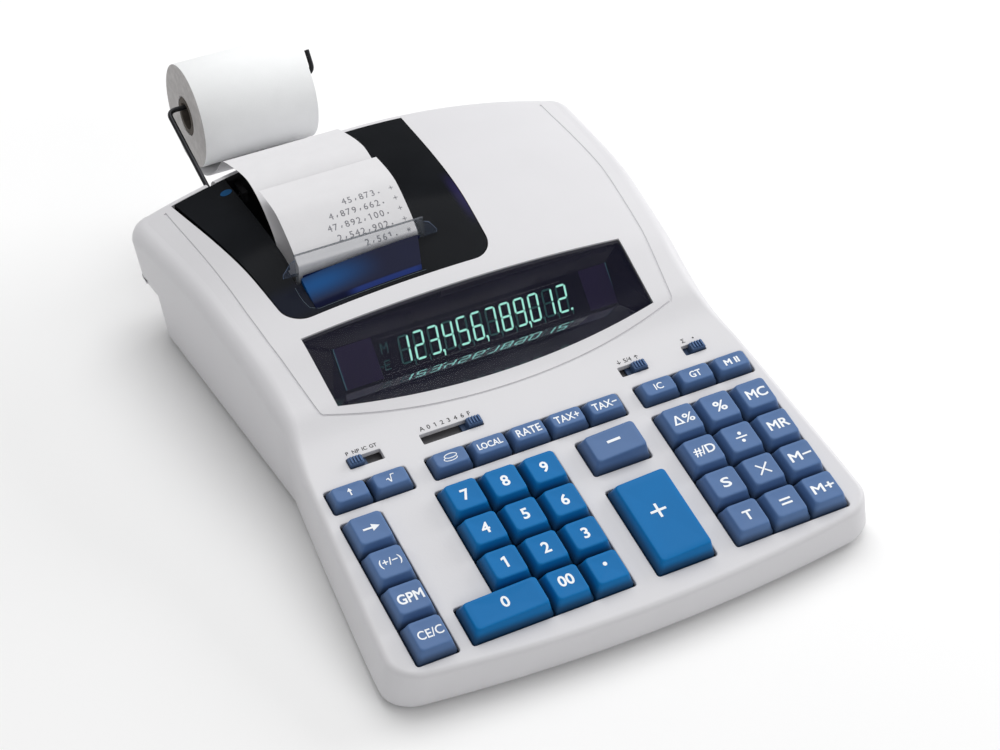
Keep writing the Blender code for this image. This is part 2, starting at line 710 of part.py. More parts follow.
def well(name, deck, collection, x_low, x_high, along_low, along_high, corner=WELL_CORNER):
    """Cutter for a rounded well through the deck, drawn round the keys it holds."""
    grow = WELL_SLACK
    outline = [(x_low - grow, along_low - grow), (x_high + grow, along_low - grow),
               (x_high + grow, along_high + grow), (x_low - grow, along_high + grow)]
    mesh = prism_mesh(name, outline, -WALL - OVERRUN, OVERRUN, (0, 1, 2, 3), corner, 2)
    return cutter(name, mesh, collection, deck)


def cut_wells(deck, collection):
    """Cutters for the key wells: one round each block of keys."""
    half = KEY_PITCH / 2
    row_low = BOTTOM_ROW - half
    row_high = BOTTOM_ROW + 3 * KEY_PITCH + half
    grow = WELL_SLACK
    left = NUMBER_COLUMN - half - grow
    right = NUMBER_COLUMN + 2 * KEY_PITCH + half + grow
    wing = NUMBER_COLUMN - half - KEY_PITCH - grow
    shelf = row_low + KEY_PITCH + grow
    outline = [(wing, row_low - grow), (right, row_low - grow), (right, row_high + grow),
               (left, row_high + grow), (left, shelf), (wing, shelf)]
    mesh = prism_mesh("well_numbers", outline, -WALL - OVERRUN, OVERRUN, (0, 1, 2, 3, 5),
                      WELL_CORNER, 2)
    cutter("well_numbers", mesh, collection, deck)
    well("well_left", deck, collection, LEFT_COLUMN - half, LEFT_COLUMN + half, row_low, row_high)
    well("well_functions", deck, collection, FUNCTION_COLUMN - half,
         FUNCTION_COLUMN + 2 * KEY_PITCH + half, row_low, row_high)
    wide = 0.75 * KEY_PITCH
    well("well_plus", deck, collection, OPERATOR_COLUMN - wide, OPERATOR_COLUMN + wide,
         row_low, row_low + 2.5 * KEY_PITCH)
    well("well_minus", deck, collection, OPERATOR_COLUMN - wide, OPERATOR_COLUMN + wide,
         row_high - KEY_PITCH, row_high)
    for group in small_key_table():
        deep = (SMALL_KEY_DEPTH + KEY_SPACING) / 2
        well("well_" + group[0][0], deck, collection, group[0][1] - half, group[-1][1] + half,
             SMALL_ROW - deep, SMALL_ROW + deep)


def switch_table():
    """Slide switches: name, slot centre, slot length, and the side where the knob rests."""
    return (("knob_print_mode", PRINT_SWITCH_X, PRINT_SLOT, -1),
            ("knob_decimals", DECIMAL_SWITCH_X, DECIMAL_SLOT, 1),
            ("knob_rounding", ROUND_SWITCH_X, ROUND_SLOT, 1),
            ("knob_item_adding", ITEM_SWITCH_X, ITEM_SLOT, 1))


def knob_mesh(name):
    """A switch knob: finger block with a ridge above, and a slider under the deck."""
    shape = bmesh.new()
    levels = (
        (-WALL - GAP - SLIDER_THICK, KNOB_WIDTH / 2 + SLIDER_LIP, KNOB_DEPTH / 2 + SLIDER_LIP),
        (-WALL - GAP, KNOB_WIDTH / 2 + SLIDER_LIP, KNOB_DEPTH / 2 + SLIDER_LIP),
        (-WALL - GAP, KNOB_WIDTH / 2, KNOB_DEPTH / 2),
        (KNOB_RISE - KNOB_EDGE, KNOB_WIDTH / 2, KNOB_DEPTH / 2),
        (KNOB_RISE, KNOB_WIDTH / 2 - KNOB_EDGE, KNOB_DEPTH / 2 - KNOB_EDGE),
        (KNOB_RISE, KNOB_RIDGE, KNOB_DEPTH / 2 - RIDGE_INSET),
        (KNOB_RISE + KNOB_RIDGE / 2, KNOB_RIDGE / 2, KNOB_DEPTH / 2 - RIDGE_TOP_INSET))
    rings = []
    for z, half_x, half_y in levels:
        corners = ((-half_x, -half_y), (half_x, -half_y), (half_x, half_y), (-half_x, half_y))
        rings.append([shape.verts.new((x, y, z)) for x, y in corners])
    shape.faces.new(rings[0])
    shape.faces.new(rings[-1])
    for first, second in zip(rings, rings[1:]):
        bridge(shape, first, second)
    return finish_mesh(name, shape)


def make_switches(deck, parts, cutters, steel):
    """Slots in the deck and the knobs that slide in them."""
    for name, x, length, side in switch_table():
        well("slot_" + name, deck, cutters, x - length / 2 + WELL_SLACK, x + length / 2 - WELL_SLACK,
             SWITCH_ROW - SLOT_DEPTH / 2 + WELL_SLACK, SWITCH_ROW + SLOT_DEPTH / 2 - WELL_SLACK,
             GAP)
        made = add_object(name, knob_mesh(name), parts, steel, deck)
        made.location = (x + side * (length / 2 - KNOB_WIDTH / 2 - GAP), SWITCH_ROW, 0)


def make_key_plate(deck, parts, cutters, material):
    """The plate under the deck that guides every key's stem."""
    half = PLATE_WIDTH / 2
    low = PLATE_CENTRE - PLATE_LENGTH / 2
    high = PLATE_CENTRE + PLATE_LENGTH / 2
    mesh = box_mesh("key_plate", (-half, low, -PLATE_DEPTH - PLATE_THICK), (half, high, -PLATE_DEPTH))
    plate = add_object("key_plate", mesh, parts, material, deck)
    places = [(x, along) for _, x, along, _, _ in key_table()]
    places += [(x, SMALL_ROW) for group in small_key_table() for _, x in group]
    for number, (x, along) in enumerate(places):
        hole = STEM_HOLE / 2
        name = f"stem_hole_{number}"
        mesh = box_mesh(name, (x - hole, along - hole, -PLATE_DEPTH - PLATE_THICK - OVERRUN),
                        (x + hole, along + hole, -PLATE_DEPTH + OVERRUN))
        cutter(name, mesh, cutters, deck)
    boolean(plate, cutters)
    return plate


def lens_outline(clearance):
    """The display window: a straight rear edge, slanted sides and a front edge that bulges."""
    bottom = LENS_BOTTOM + clearance
    top = LENS_TOP - clearance
    wide = LENS_BOTTOM_HALF - clearance
    outline = []
    for step in range(LENS_ARC_STEPS + 1):
        share = -1.0 + 2.0 * step / LENS_ARC_STEPS
        outline.append((share * wide, FRONT_Y + bottom - LENS_BULGE * (1 - share ** 2)))
    outline.append((LENS_TOP_HALF - clearance, FRONT_Y + top))
    outline.append((-LENS_TOP_HALF + clearance, FRONT_Y + top))
    return outline


def cover_outline(clearance, hinge_slack=0.0):
    """The printer cover's outline, with more room where its rear left corner swings."""
    front = FRONT_Y + COVER_FRONT + clearance
    rear = FRONT_Y + TOP_EDGE_FROM_FRONT - clearance
    return [(COVER_FRONT_LEFT + clearance, front), (COVER_FRONT_RIGHT - clearance, front),
            (COVER_REAR_RIGHT - clearance, rear), (COVER_REAR_LEFT + clearance + hinge_slack, rear)]


def make_case(deck, parts, cutters, well_cutters, white):
    """Upper case with its wells, display window, printer bay, arm notches and rear undercut."""
    top = case_skin("top_case", WALL, parts, white)
    window = prism_mesh("window", lens_outline(0.0), DECK_FRONT_HEIGHT + OVERRUN, SKY)
    cutter("window", window, well_cutters)
    bay = prism_mesh("bay", cover_outline(0.0), OVERHANG_BOTTOM + OVERRUN, SKY, (0, 1),
                     COVER_CORNER, 4)
    cutter("bay", bay, well_cutters)
    bore = WIRE_RADIUS + LUG_SLACK
    x = PAPER_X - ARM_SPREAD_BASE
    notch = box_mesh("arm_notch",
                     (x - ARM_NOTCH / 2, FRONT_Y + TOP_EDGE_FROM_FRONT - OVERRUN, ARM_NOTCH_BOTTOM),
                     (x + ARM_NOTCH / 2, FRONT_Y + CASE_DEPTH + OVERRUN, SKY))
    cutter("arm_notch", notch, well_cutters)
    for side in (-1, 1):
        x = PAPER_X + side * LUG_SPREAD
        lug = box_mesh(f"lug_{side}", (x - LUG_THICK / 2, FRONT_Y + ARM_PIVOT_FROM_FRONT - bore * 2,
                                       ARM_PIVOT_HEIGHT - bore * 2),
                       (x + LUG_THICK / 2, FRONT_Y + CASE_DEPTH - WALL / 2, ARM_PIVOT_HEIGHT + bore * 2))
        boolean(top, cutter(f"lug_{side}", lug, cutters), 'UNION')
    wire_way = rod_mesh("wire_way", bore, LUG_SPREAD + LUG_THICK, SHAFT_SIDES)
    way = cutter("wire_way", wire_way, well_cutters)
    way.location = (PAPER_X, FRONT_Y + ARM_PIVOT_FROM_FRONT, ARM_PIVOT_HEIGHT)
    wide = REAR_HALF_WIDTH + OVERRUN
    undercut = box_mesh("undercut", (-wide, FRONT_Y + UNDERCUT_FROM_FRONT, 0),
                        (wide, FRONT_Y + CASE_DEPTH + OVERRUN, OVERHANG_BOTTOM))
    cutter("undercut", undercut, well_cutters)
    boolean(top, well_cutters)
    return top


def make_base(parts, cutters, grey):
    """Lower case with posts for the key plate and a cable gland, standing on four feet."""
    base = base_shell(parts, grey)
    floor = BASE_BOTTOM + BASE_WALL / 2
    wall = prism_mesh("rear_wall", rear_wall_outline(), floor, OVERHANG_BOTTOM - GAP)
    boolean(base, cutter("rear_wall", wall, cutters), 'UNION')
    post_x = PLATE_WIDTH / 2 - POST_RADIUS * 2
    seats = []
    for along in (BOTTOM_ROW + KEY_PITCH / 2, PLATE_CENTRE + PLATE_LENGTH / 2 - POST_RADIUS * 2):
        seats += [(deck_point(side * post_x, along, -PLATE_DEPTH - PLATE_THICK - GAP), DECK_TILT)
                  for side in (-1, 1)]
    tube_low = tube_centre() - Vector((0, 0, (TUBE_THICK + GAP) / math.cos(TUBE_TILT)))
    seats += [(tube_low + Vector((side * TUBE_WIDTH / 3, 0, 0)), TUBE_TILT) for side in (-1, 1)]
    for number, (seat, tilt) in enumerate(seats):
        name = f"post_{number}"
        height = seat.z - POST_RADIUS * math.tan(tilt) - floor
        place = Matrix.Translation((seat.x, seat.y, floor + height / 2))
        shape = bmesh.new()
        bmesh.ops.create_cone(shape, cap_ends=True, segments=POST_SIDES, radius1=POST_RADIUS,
                              radius2=POST_RADIUS, depth=height, matrix=place)
        boolean(base, cutter(name, finish_mesh(name, shape), cutters), 'UNION')
    shape = bmesh.new()
    place = Matrix.Translation((GLAND_X, FRONT_Y + BASE_REAR_FROM_FRONT, GLAND_HEIGHT))
    bmesh.ops.create_cone(shape, cap_ends=True, segments=ROUND_SIDES, radius1=GLAND_RADIUS,
                          radius2=GLAND_RADIUS, depth=2 * GLAND_REACH,
                          matrix=place @ Matrix.Rotation(math.pi / 2, 4, 'X'))
    boolean(base, cutter("cable_gland", finish_mesh("cable_gland", shape), cutters), 'UNION')
    for depth in (FOOT_INSET, BASE_REAR_FROM_FRONT - FOOT_INSET):
        for side in (-1, 1):
            place = Matrix.Translation((side * (lower_width(depth) - FOOT_INSET), FRONT_Y + depth,
                                        floor / 2))
            shape = bmesh.new()
            bmesh.ops.create_cone(shape, cap_ends=True, segments=ROUND_SIDES, radius1=FOOT_RADIUS,
                                  radius2=FOOT_RADIUS, depth=floor, matrix=place)
            name = f"foot_{side}_{round(depth / MM)}"
            foot = cutter(name, finish_mesh(name, shape), cutters)
            boolean(base, foot, 'UNION')


def tube_centre():
    """Middle of the display tube's face, a set depth under the window."""
    height = surface_height(0, TUBE_FROM_FRONT) - TUBE_DEPTH
    return Vector((0, FRONT_Y + TUBE_FROM_FRONT, height))


def make_display(parts, cutters, smoke, dark):
    """The smoked window and the display tube in its bracket below it."""
    lens = case_skin("display_lens", LENS_THICK, parts, smoke)
    lens.location.z = -LENS_RECESS
    mesh = prism_mesh("lens_blank", lens_outline(COVER_GAP), DECK_FRONT_HEIGHT + OVERRUN, SKY)
    boolean(lens, cutter("lens_blank", mesh, cutters), 'INTERSECT')
    low = (-TUBE_WIDTH / 2, -TUBE_HEIGHT / 2, -TUBE_THICK)
    tube = add_object("display_tube", box_mesh("display_tube", low, (TUBE_WIDTH / 2, TUBE_HEIGHT / 2, 0)),
                      parts, dark)
    tube.location = tube_centre()
    tube.rotation_euler = (TUBE_TILT, 0, 0)


def make_cover(parts, cutters, smoke, clear):
    """The smoked printer cover, open at the rear for the paper, and its clear tear bar."""
    cover = case_skin("printer_cover", COVER_THICK, parts, smoke)
    outline = cover_outline(COVER_GAP, HINGE_SLACK)
    mesh = prism_mesh("cover_blank", outline, OVERHANG_BOTTOM + OVERRUN, SKY, (0, 1), COVER_CORNER, 4)
    boolean(cover, cutter("cover_blank", mesh, cutters), 'INTERSECT')
    notch_half = PAPER_WIDTH / 2 + NOTCH_SIDE
    slit_half = PAPER_WIDTH / 2 + SLIT_SIDE
    front = FRONT_Y + NOTCH_FROM_FRONT
    middle = front + NOTCH_LENGTH
    rear = FRONT_Y + CASE_DEPTH + OVERRUN
    outline = [(-notch_half, front), (notch_half, front), (notch_half, middle), (slit_half, middle),
               (slit_half, rear), (-slit_half, rear), (-slit_half, middle), (-notch_half, middle)]
    outline = [(PAPER_X + x, y) for x, y in outline]
    mesh = prism_mesh("paper_notch", outline, OVERHANG_BOTTOM, SKY)
    boolean(cover, cutter("paper_notch", mesh, cutters))
    bar_half = notch_half - GAP
    foot = front + GAP
    edge = FRONT_Y + TEAR_EDGE_FROM_FRONT
    outline = [(foot, TEAR_FOOT_HEIGHT), (foot + TEAR_THICK, TEAR_FOOT_HEIGHT),
               (foot + TEAR_THICK, EXIT_HEIGHT), (edge, TEAR_EDGE_HEIGHT),
               (edge - TEAR_THICK, TEAR_EDGE_HEIGHT), (foot, EXIT_HEIGHT)]
    bar = add_object("tear_bar", profile_mesh("tear_bar", outline, PAPER_X - bar_half,
                                              PAPER_X + bar_half), parts, clear)
    for side in (-1, 1):
        outer = PAPER_X + side * bar_half
        inner = outer - side * TEAR_THICK
        cheek = [(foot, TEAR_FOOT_HEIGHT), (foot + CHEEK_LENGTH, TEAR_FOOT_HEIGHT),
                 (foot + TEAR_THICK / 2, TEAR_FOOT_HEIGHT + CHEEK_HEIGHT), (foot, EXIT_HEIGHT)]
        name = f"cheek_{side}"
        mesh = profile_mesh(name, cheek, min(outer, inner), max(outer, inner))
        boolean(bar, cutter(name, mesh, cutters), 'UNION')


def gear_outline(teeth, turn):
    """Tooth outline of a spur gear by formula, thinned so that meshed teeth never touch."""
    pitch_radius = GEAR_MODULE * teeth / 2
    tip = pitch_radius + GEAR_MODULE * ADDENDUM_SHARE
    root = pitch_radius - GEAR_MODULE
    points = []
    for tooth in range(teeth):
        centre = math.tau * tooth / teeth + turn
        step = math.tau / teeth
        for share, radius in ((-TOOTH_ROOT_SHARE, root), (-TOOTH_TIP_SHARE, tip),
                              (TOOTH_TIP_SHARE, tip), (TOOTH_ROOT_SHARE, root)):
            angle = centre + share * step
            points.append((radius * math.cos(angle), radius * math.sin(angle)))
    return points


def join_union(base, extra_meshes, cutters, stem):
    """Unite further meshes with an object, each kept as a hidden operand."""
    for number, mesh in enumerate(extra_meshes):
        name = f"{stem}_{number}"
        tool = cutter(name, mesh, cutters)
        tool.location = base.location
        boolean(base, tool, 'UNION')


def make_mechanism(parts, cutters, metal, black, rubber, white):
    """The printer under its cover: steel channel, platen with gear, drive pinion and ribbon box."""
    left = PAPER_X - FRAME_HALF_WIDTH
    right = PAPER_X + FRAME_HALF_WIDTH
    floor = BASE_BOTTOM + BASE_WALL + GAP
    front = FRONT_Y + FRAME_FRONT
    rear = FRONT_Y + FRAME_REAR
    frame = add_object("printer_frame", box_mesh("printer_frame", (left, front, floor),
                                                 (right, rear, FRAME_TOP)), parts, metal)
    inside = box_mesh("frame_inside", (left + FRAME_WALL, front + FRAME_WALL, floor + FRAME_WALL),
                      (right - FRAME_WALL, rear - FRAME_WALL, FRAME_TOP + OVERRUN))
    boolean(frame, cutter("frame_inside", inside, cutters))
    side_opening = box_mesh("frame_open", (left + FRAME_WALL, front - OVERRUN, FRAME_WEB_TOP),
                            (right - FRAME_WALL, rear + OVERRUN, FRAME_TOP + OVERRUN))
    boolean(frame, cutter("frame_open", side_opening, cutters))
    slot = SHAFT_RADIUS + SHAFT_SLACK
    bearing = box_mesh("shaft_slot", (left - OVERRUN, PLATEN_Y - slot, PLATEN_HEIGHT - slot),
                       (right + OVERRUN, PLATEN_Y + slot, FRAME_TOP + OVERRUN))
    boolean(frame, cutter("shaft_slot", bearing, cutters))

    gear_x = right + GEAR_STAND_OFF
    pinion_angle = -3 * math.tau / GEAR_TEETH
    distance = GEAR_MODULE * (GEAR_TEETH + PINION_TEETH) / 2 + GAP / 2
    pinion_y = PLATEN_Y + distance * math.cos(pinion_angle)
    pinion_z = PLATEN_HEIGHT + distance * math.sin(pinion_angle)
    bearing = rod_mesh("pinion_bearing", SHAFT_RADIUS + SHAFT_SLACK, STUB_LENGTH, SHAFT_SIDES)
    tool = cutter("pinion_bearing", bearing, cutters)
    tool.location = (right, pinion_y, pinion_z)
    boolean(frame, tool)
    shaft_end = gear_x + GEAR_WIDTH + GAP
    platen = add_object("platen_roller", rod_mesh("platen_roller", PLATEN_RADIUS, PAPER_WIDTH / 2),
                        parts, rubber)
    platen.location = (PAPER_X, PLATEN_Y, PLATEN_HEIGHT)
    half_shaft = shaft_end - PAPER_X
    shaft = rod_mesh("platen_shaft", SHAFT_RADIUS, half_shaft, SHAFT_SIDES)
    gear = profile_mesh("platen_gear", gear_outline(GEAR_TEETH, 0.0), gear_x - PAPER_X,
                        gear_x - PAPER_X + GEAR_WIDTH)
    join_union(platen, (shaft, gear), cutters, "platen_part")

    turn = pinion_angle + math.pi + math.pi / PINION_TEETH
    teeth = profile_mesh("drive_pinion", gear_outline(PINION_TEETH, turn), 0.0, GEAR_WIDTH)
    pinion = add_object("drive_pinion", teeth, parts, white)
    pinion.location = (gear_x, pinion_y, pinion_z)
    join_union(pinion, [rod_mesh("pinion_stub", SHAFT_RADIUS, STUB_LENGTH, SHAFT_SIDES)], cutters,
               "pinion_part")

    ribbon_front = front + FRAME_WALL + GAP
    ribbon = add_object("ribbon_box", box_mesh(
        "ribbon_box", (left + FRAME_WALL + GAP, ribbon_front, RIBBON_BOTTOM),
        (right - FRAME_WALL - GAP, ribbon_front + RIBBON_DEPTH, RIBBON_BOTTOM + RIBBON_HEIGHT)),
        parts, black)
    return ribbon


def make_roll(parts, cutters, paper, card, wire):
    """Paper roll on its card core, carried by a one-legged wire arm hinged in the rear edge."""
    roll = add_object("paper_roll", rod_mesh("paper_roll", ROLL_RADIUS, PAPER_WIDTH / 2, ROLL_SIDES,
                                             CORE_RADIUS + GAP), parts, paper)
    core = add_object("roll_core", rod_mesh("roll_core", CORE_RADIUS, PAPER_WIDTH / 2, ROUND_SIDES,
                                            CORE_BORE), parts, card)
    for piece in (roll, core):
        piece.location = (PAPER_X, ROLL_Y, ROLL_HEIGHT)
    pivot_y = FRONT_Y + ARM_PIVOT_FROM_FRONT
    top_right = Vector((ARM_SPREAD_TOP, ROLL_Y, WIRE_HEIGHT))
    hook = Vector((0, math.cos(HOOK_ANGLE), math.sin(HOOK_ANGLE))) * HOOK_LENGTH
    corners = [top_right + hook, top_right, Vector((-ARM_SPREAD_TOP, ROLL_Y, WIRE_HEIGHT)),
               Vector((-ARM_SPREAD_BASE, pivot_y, ARM_PIVOT_HEIGHT)),
               Vector((PIVOT_END, pivot_y, ARM_PIVOT_HEIGHT))]
    route = [corners[0]]
    for before, corner, after in zip(corners, corners[1:], corners[2:]):
        into = (corner - before).normalized()
        out = (after - corner).normalized()
        for step in range(ROUTE_STEPS + 2):
            share = step / (ROUTE_STEPS + 1)
            start = corner - into * WIRE_BEND
            end = corner + out * WIRE_BEND
            route.append((1 - share) ** 2 * start + 2 * share * (1 - share) * corner + share ** 2 * end)
    route.append(corners[-1])
    curve = bpy.data.curves.new("roll_arm", 'CURVE')
    curve.dimensions = '3D'
    curve.bevel_depth = WIRE_RADIUS
    curve.bevel_resolution = 2
    curve.use_fill_caps = True
    spline = curve.splines.new('POLY')
    spline.points.add(len(route) - 1)
    pivot = Vector((0, pivot_y, ARM_PIVOT_HEIGHT))
    for point, place in zip(spline.points, route):
        point.co = (*(place - pivot), 1.0)
    curve.materials.append(wire)
    arm = bpy.data.objects.new("roll_arm", curve)
    parts.objects.link(arm)
    arm.location = (PAPER_X, pivot_y, ARM_PIVOT_HEIGHT)


def paper_route():
    """Middle line of the paper strip in the Y-Z plane, from the roll round the platen and out."""
    low = ROLL_HEIGHT - ROLL_RADIUS - GAP - PAPER_THICK / 2
    reach = ROLL_FROM_FRONT - PLATEN_FROM_FRONT
    points = [Vector((PLATEN_Y + reach * along, low + (ARCH_HEIGHT - low) * rise))
              for along, rise in feed_shares]
    wrap = PLATEN_RADIUS + GAP + PAPER_THICK / 2
    for angle in WRAP_ANGLES:
        turn = math.radians(angle)
        points.append(Vector((PLATEN_Y + wrap * math.cos(turn), PLATEN_HEIGHT + wrap * math.sin(turn))))
    for along, rise in printed_shares:
        points.append(Vector((FRONT_Y + EXIT_FROM_FRONT + PRINTED_REACH * along,
                              EXIT_HEIGHT + PRINTED_RISE * rise)))
    return points


def make_paper(parts, paper):
    """The paper strip: one ribbon from the roll, round the platen and up past the tear bar."""
    route = paper_route()
    normals = []
    for index in range(len(route)):
        along = route[min(index + 1, len(route) - 1)] - route[max(index - 1, 0)]
        normals.append(Vector((-along.y, along.x)).normalized() * PAPER_THICK / 2)
    outline = [place + normal for place, normal in zip(route, normals)]
    outline += [place - normal for place, normal in zip(reversed(route), reversed(normals))]
    low = PAPER_X - PAPER_WIDTH / 2
    shape = bmesh.new()
    count = len(outline)
    sides = [[shape.verts.new((x, y, z)) for y, z in outline] for x in (low, low + PAPER_WIDTH)]
    bridge(shape, sides[0], sides[1])
    for side in sides:
        for step in range(count // 2 - 1):
            shape.faces.new((side[step], side[step + 1], side[count - 2 - step], side[count - 1 - step]))
    add_object("paper_strip", finish_mesh("paper_strip", shape, ROUND_SMOOTH), parts, paper)


def main():
    """Build every piece of the calculator."""
    clear_scene()
    parts = make_collection("printing_calculator")
    cutters = make_collection("cutters")
    case_cutters = make_collection("case_cutters")
    stem_cutters = make_collection("stem_cutters")
    white = make_material("case_white", (0.80, 0.80, 0.82), 0.45)
    grey = make_material("base_grey", (0.62, 0.62, 0.64), 0.5)
    blue = make_material("key_blue", (0.02, 0.20, 0.48), 0.35)
    steel = make_material("key_steel_blue", (0.08, 0.17, 0.33), 0.35)
    smoke = make_material("smoked_plastic", (0.01, 0.012, 0.02), 0.08)
    clear = make_material("clear_blue", (0.2, 0.4, 0.8), 0.08, alpha=0.4)
    dark = make_material("tube_dark", (0.02, 0.05, 0.05), 0.1)
    black = make_material("ribbon_black", (0.02, 0.02, 0.025), 0.5)
    metal = make_material("zinc_steel", (0.55, 0.56, 0.58), 0.35, metallic=1.0)
    rubber = make_material("black_rubber", (0.03, 0.03, 0.03), 0.8)
    paper = make_material("paper_white", (0.88, 0.88, 0.87), 0.85)
    card = make_material("core_card", (0.30, 0.25, 0.22), 0.9)
    wire = make_material("dark_wire", (0.05, 0.05, 0.055), 0.35, metallic=0.8)

    deck = make_deck()
    cut_wells(deck, case_cutters)
    make_switches(deck, parts, case_cutters, steel)
    make_case(deck, parts, cutters, case_cutters, white)
    make_base(parts, cutters, grey)
    make_key_plate(deck, parts, stem_cutters, grey)
    make_keys(deck, parts, blue, steel)
    make_display(parts, cutters, smoke, dark)
    make_cover(parts, cutters, smoke, clear)
    make_mechanism(parts, cutters, metal, black, rubber, white)
    make_roll(parts, cutters, paper, card, wire)
    make_paper(parts, paper)


main()
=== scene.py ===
import math

import bmesh
import bpy
from bpy.props import FloatProperty, FloatVectorProperty, IntProperty, PointerProperty
from mathutils import Matrix, Vector


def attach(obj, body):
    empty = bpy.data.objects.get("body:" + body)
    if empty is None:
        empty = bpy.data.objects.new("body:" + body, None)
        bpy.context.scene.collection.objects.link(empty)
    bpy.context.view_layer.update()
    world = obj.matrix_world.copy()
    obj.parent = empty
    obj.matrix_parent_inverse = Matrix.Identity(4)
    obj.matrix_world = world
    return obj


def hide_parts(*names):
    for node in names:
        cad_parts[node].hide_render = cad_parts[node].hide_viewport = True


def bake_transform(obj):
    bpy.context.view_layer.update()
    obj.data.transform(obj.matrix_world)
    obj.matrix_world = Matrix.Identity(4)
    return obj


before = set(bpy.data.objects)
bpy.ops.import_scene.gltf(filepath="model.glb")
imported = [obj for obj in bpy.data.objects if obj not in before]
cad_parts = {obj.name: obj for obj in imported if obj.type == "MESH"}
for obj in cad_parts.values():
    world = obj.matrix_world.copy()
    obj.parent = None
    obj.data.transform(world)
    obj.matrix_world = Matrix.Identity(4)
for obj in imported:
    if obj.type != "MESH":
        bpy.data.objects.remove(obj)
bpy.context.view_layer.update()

bl_info = {
    "name": "Printing calculator",
    "version": (1, 0, 0),
    "blender": (4, 5, 0),
    "location": "3D View > Sidebar > Calculator",
    "description": "Builds the finished look of a desk printing calculator with its paper roll",
    "category": "Object",
}

MM = 0.001

# Sizes and places below are in millimetres, and tables of shares have none. Places along the depth
# count from the case's front edge, and places on the keyboard count up its slope.
FRONT_Y = -180.35
DECK_TILT = math.radians(11.3)
DECK_FRONT = 18.5
CASE_DEPTH = 293.9
UPPER_HALVES = (112.6, 102.5, 114.9)    # half widths at the front, the waist and the rear
LOWER_HALVES = (114.9, 99.5, 108.4)
WAIST = 138.0
FRONT_CORNER = 13.0
REAR_CORNER = 11.0
HUMP_START = 118.0
HUMP_END = 286.7
HUMP_RISE = 15.4
CROWN_DROP = 20.5
SKIRT_BOTTOM = 5.3
UNDERCUT = 268.0
OVERHANG = 29.0
KEY_PITCH = 18.4
KEY_GAP = 0.8
BOTTOM_ROW = 21.5
SMALL_ROW = 97.6
SWITCH_ROW = 113.3
LEFT_KEYS = -91.6
NUMBER_KEYS = -48.5
BIG_KEYS = 22.1
RIGHT_KEYS = 55.0
SMALL_KEYS = (-91.2, -45.1, 55.2)
SMALL_DEPTH = 10.9
PAPER_X = -36.8
PAPER_HALF = 28.75
ROLL = (335.5, 74.1)
ROLL_RADIUS = 25.2
PLATEN = (211.0, 57.0)
HINGE = (284.0, 59.5)
TUBE = (158.0, 10.0)
TUBE_TILT = math.radians(45.0)
ARM_PIVOT_END = 26.0
ARM_LEG = 35.8
ROLL_BORE = 9.7
CORE_BORE = 6.6
WIRE_RADIUS = 1.2
CASE_WALL = 2.4
COVER_WALL = 2.2
LENS_WALL = 2.0
RIM_GAP = 0.4    # round the window, the cover and every block of keys
WELL_CORNER = 1.3
CUT_TOP = 110.0    # above everything, for the tools that cut from above
LENS_HALVES = (77.0, 78.2)    # half widths of the display window, front and rear
LENS_DEPTHS = (137.8, 172.6)
LENS_BULGE = 7.6
COVER_LEFT = (-79.2, -93.2)    # the cover's two sides, front and rear
COVER_RIGHT = (20.0, 24.1)
COVER_FRONT = 180.8
BAR_FOOT = 199.5
RAMP_FRONT = 183.6
RAMP_REAR = 199.1
FIRST_DIGIT = -35.7
DIGIT_PITCH = 7.07
DIGIT_SLANT = 0.12
SWITCH_LEGEND = 118.6
PAD_INSET = 17.0
PRINT_START = 4.0
PRINT_STEP = 5.35
FIGURE_STEP = 2.8
WRAP_RADIUS = 6.7    # of the strip's middle round the platen
LOOP_TOP = 86.0    # height of the strip's loop under the cover
PRINTED_START = (201.9, 73.1)    # where the printed end leaves the tear bar, then its two spans
PRINTED_SPANS = (42.6, 16.4)
CAMERA_PLACE = (-366.5, -575.0, 715.3)
CAMERA_LOOK = (0.3491, 0.6787, -0.6461)    # direction
CAMERA_LENS = 86.4

# Slide switches: node, centre across, length of the slot, side of the knob and legend
switches = (("knob_print_mode", -76.9, 15.9, -1, ("P", "NP", "IC", "GT")),
            ("knob_decimals", -36.6, 28.4, 1, ("A", "0", "1", "2", "3", "4", "6", "F")),
            ("knob_rounding", 51.7, 13.1, 1, ("↓", "5/4", "↑")),
            ("knob_item_adding", 82.4, 10.4, 1, ("Σ", "•")))

# Shares along a span and of its height: the hump's rise, the strip from the roll to the platen,
# and the printed end of the strip; then the strip's angles round the platen in degrees
rise_shares = (
    (0.0, 0.0), (0.055, 0.04), (0.141, 0.29), (0.227, 0.56), (0.313, 0.80),
    (0.456, 0.96), (0.60, 1.0), (0.77, 0.68), (1.0, 0.0))
feed_shares = (
    (1.0, 0.0), (0.907, 0.04), (0.829, 0.126), (0.744, 0.33), (0.684, 0.548), (0.655, 0.67),
    (0.623, 0.765), (0.58, 0.825), (0.503, 0.91), (0.425, 0.98), (0.355, 1.0), (0.262, 0.914),
    (0.16, 0.70), (0.09, 0.42))
printed_shares = (
    (0.0, 0.0), (0.05, 0.236), (0.22, 0.56), (0.48, 0.91), (0.66, 1.0), (0.853, 0.99), (1.0, 0.96))
wrap_angles = (15, -15, -45, -75, -105, -135, -165, -190)


# Places
def at(x, depth, height):
    """Model place in metres, from millimetres across, from the front edge and above the table."""
    return Vector((x, FRONT_Y + depth, height)) * MM


def deck(x, along, above=0.0):
    """Model place of a point on the keyboard deck."""
    sine, cosine = math.sin(DECK_TILT), math.cos(DECK_TILT)
    return at(x, along * cosine - above * sine, DECK_FRONT + along * sine + above * cosine)


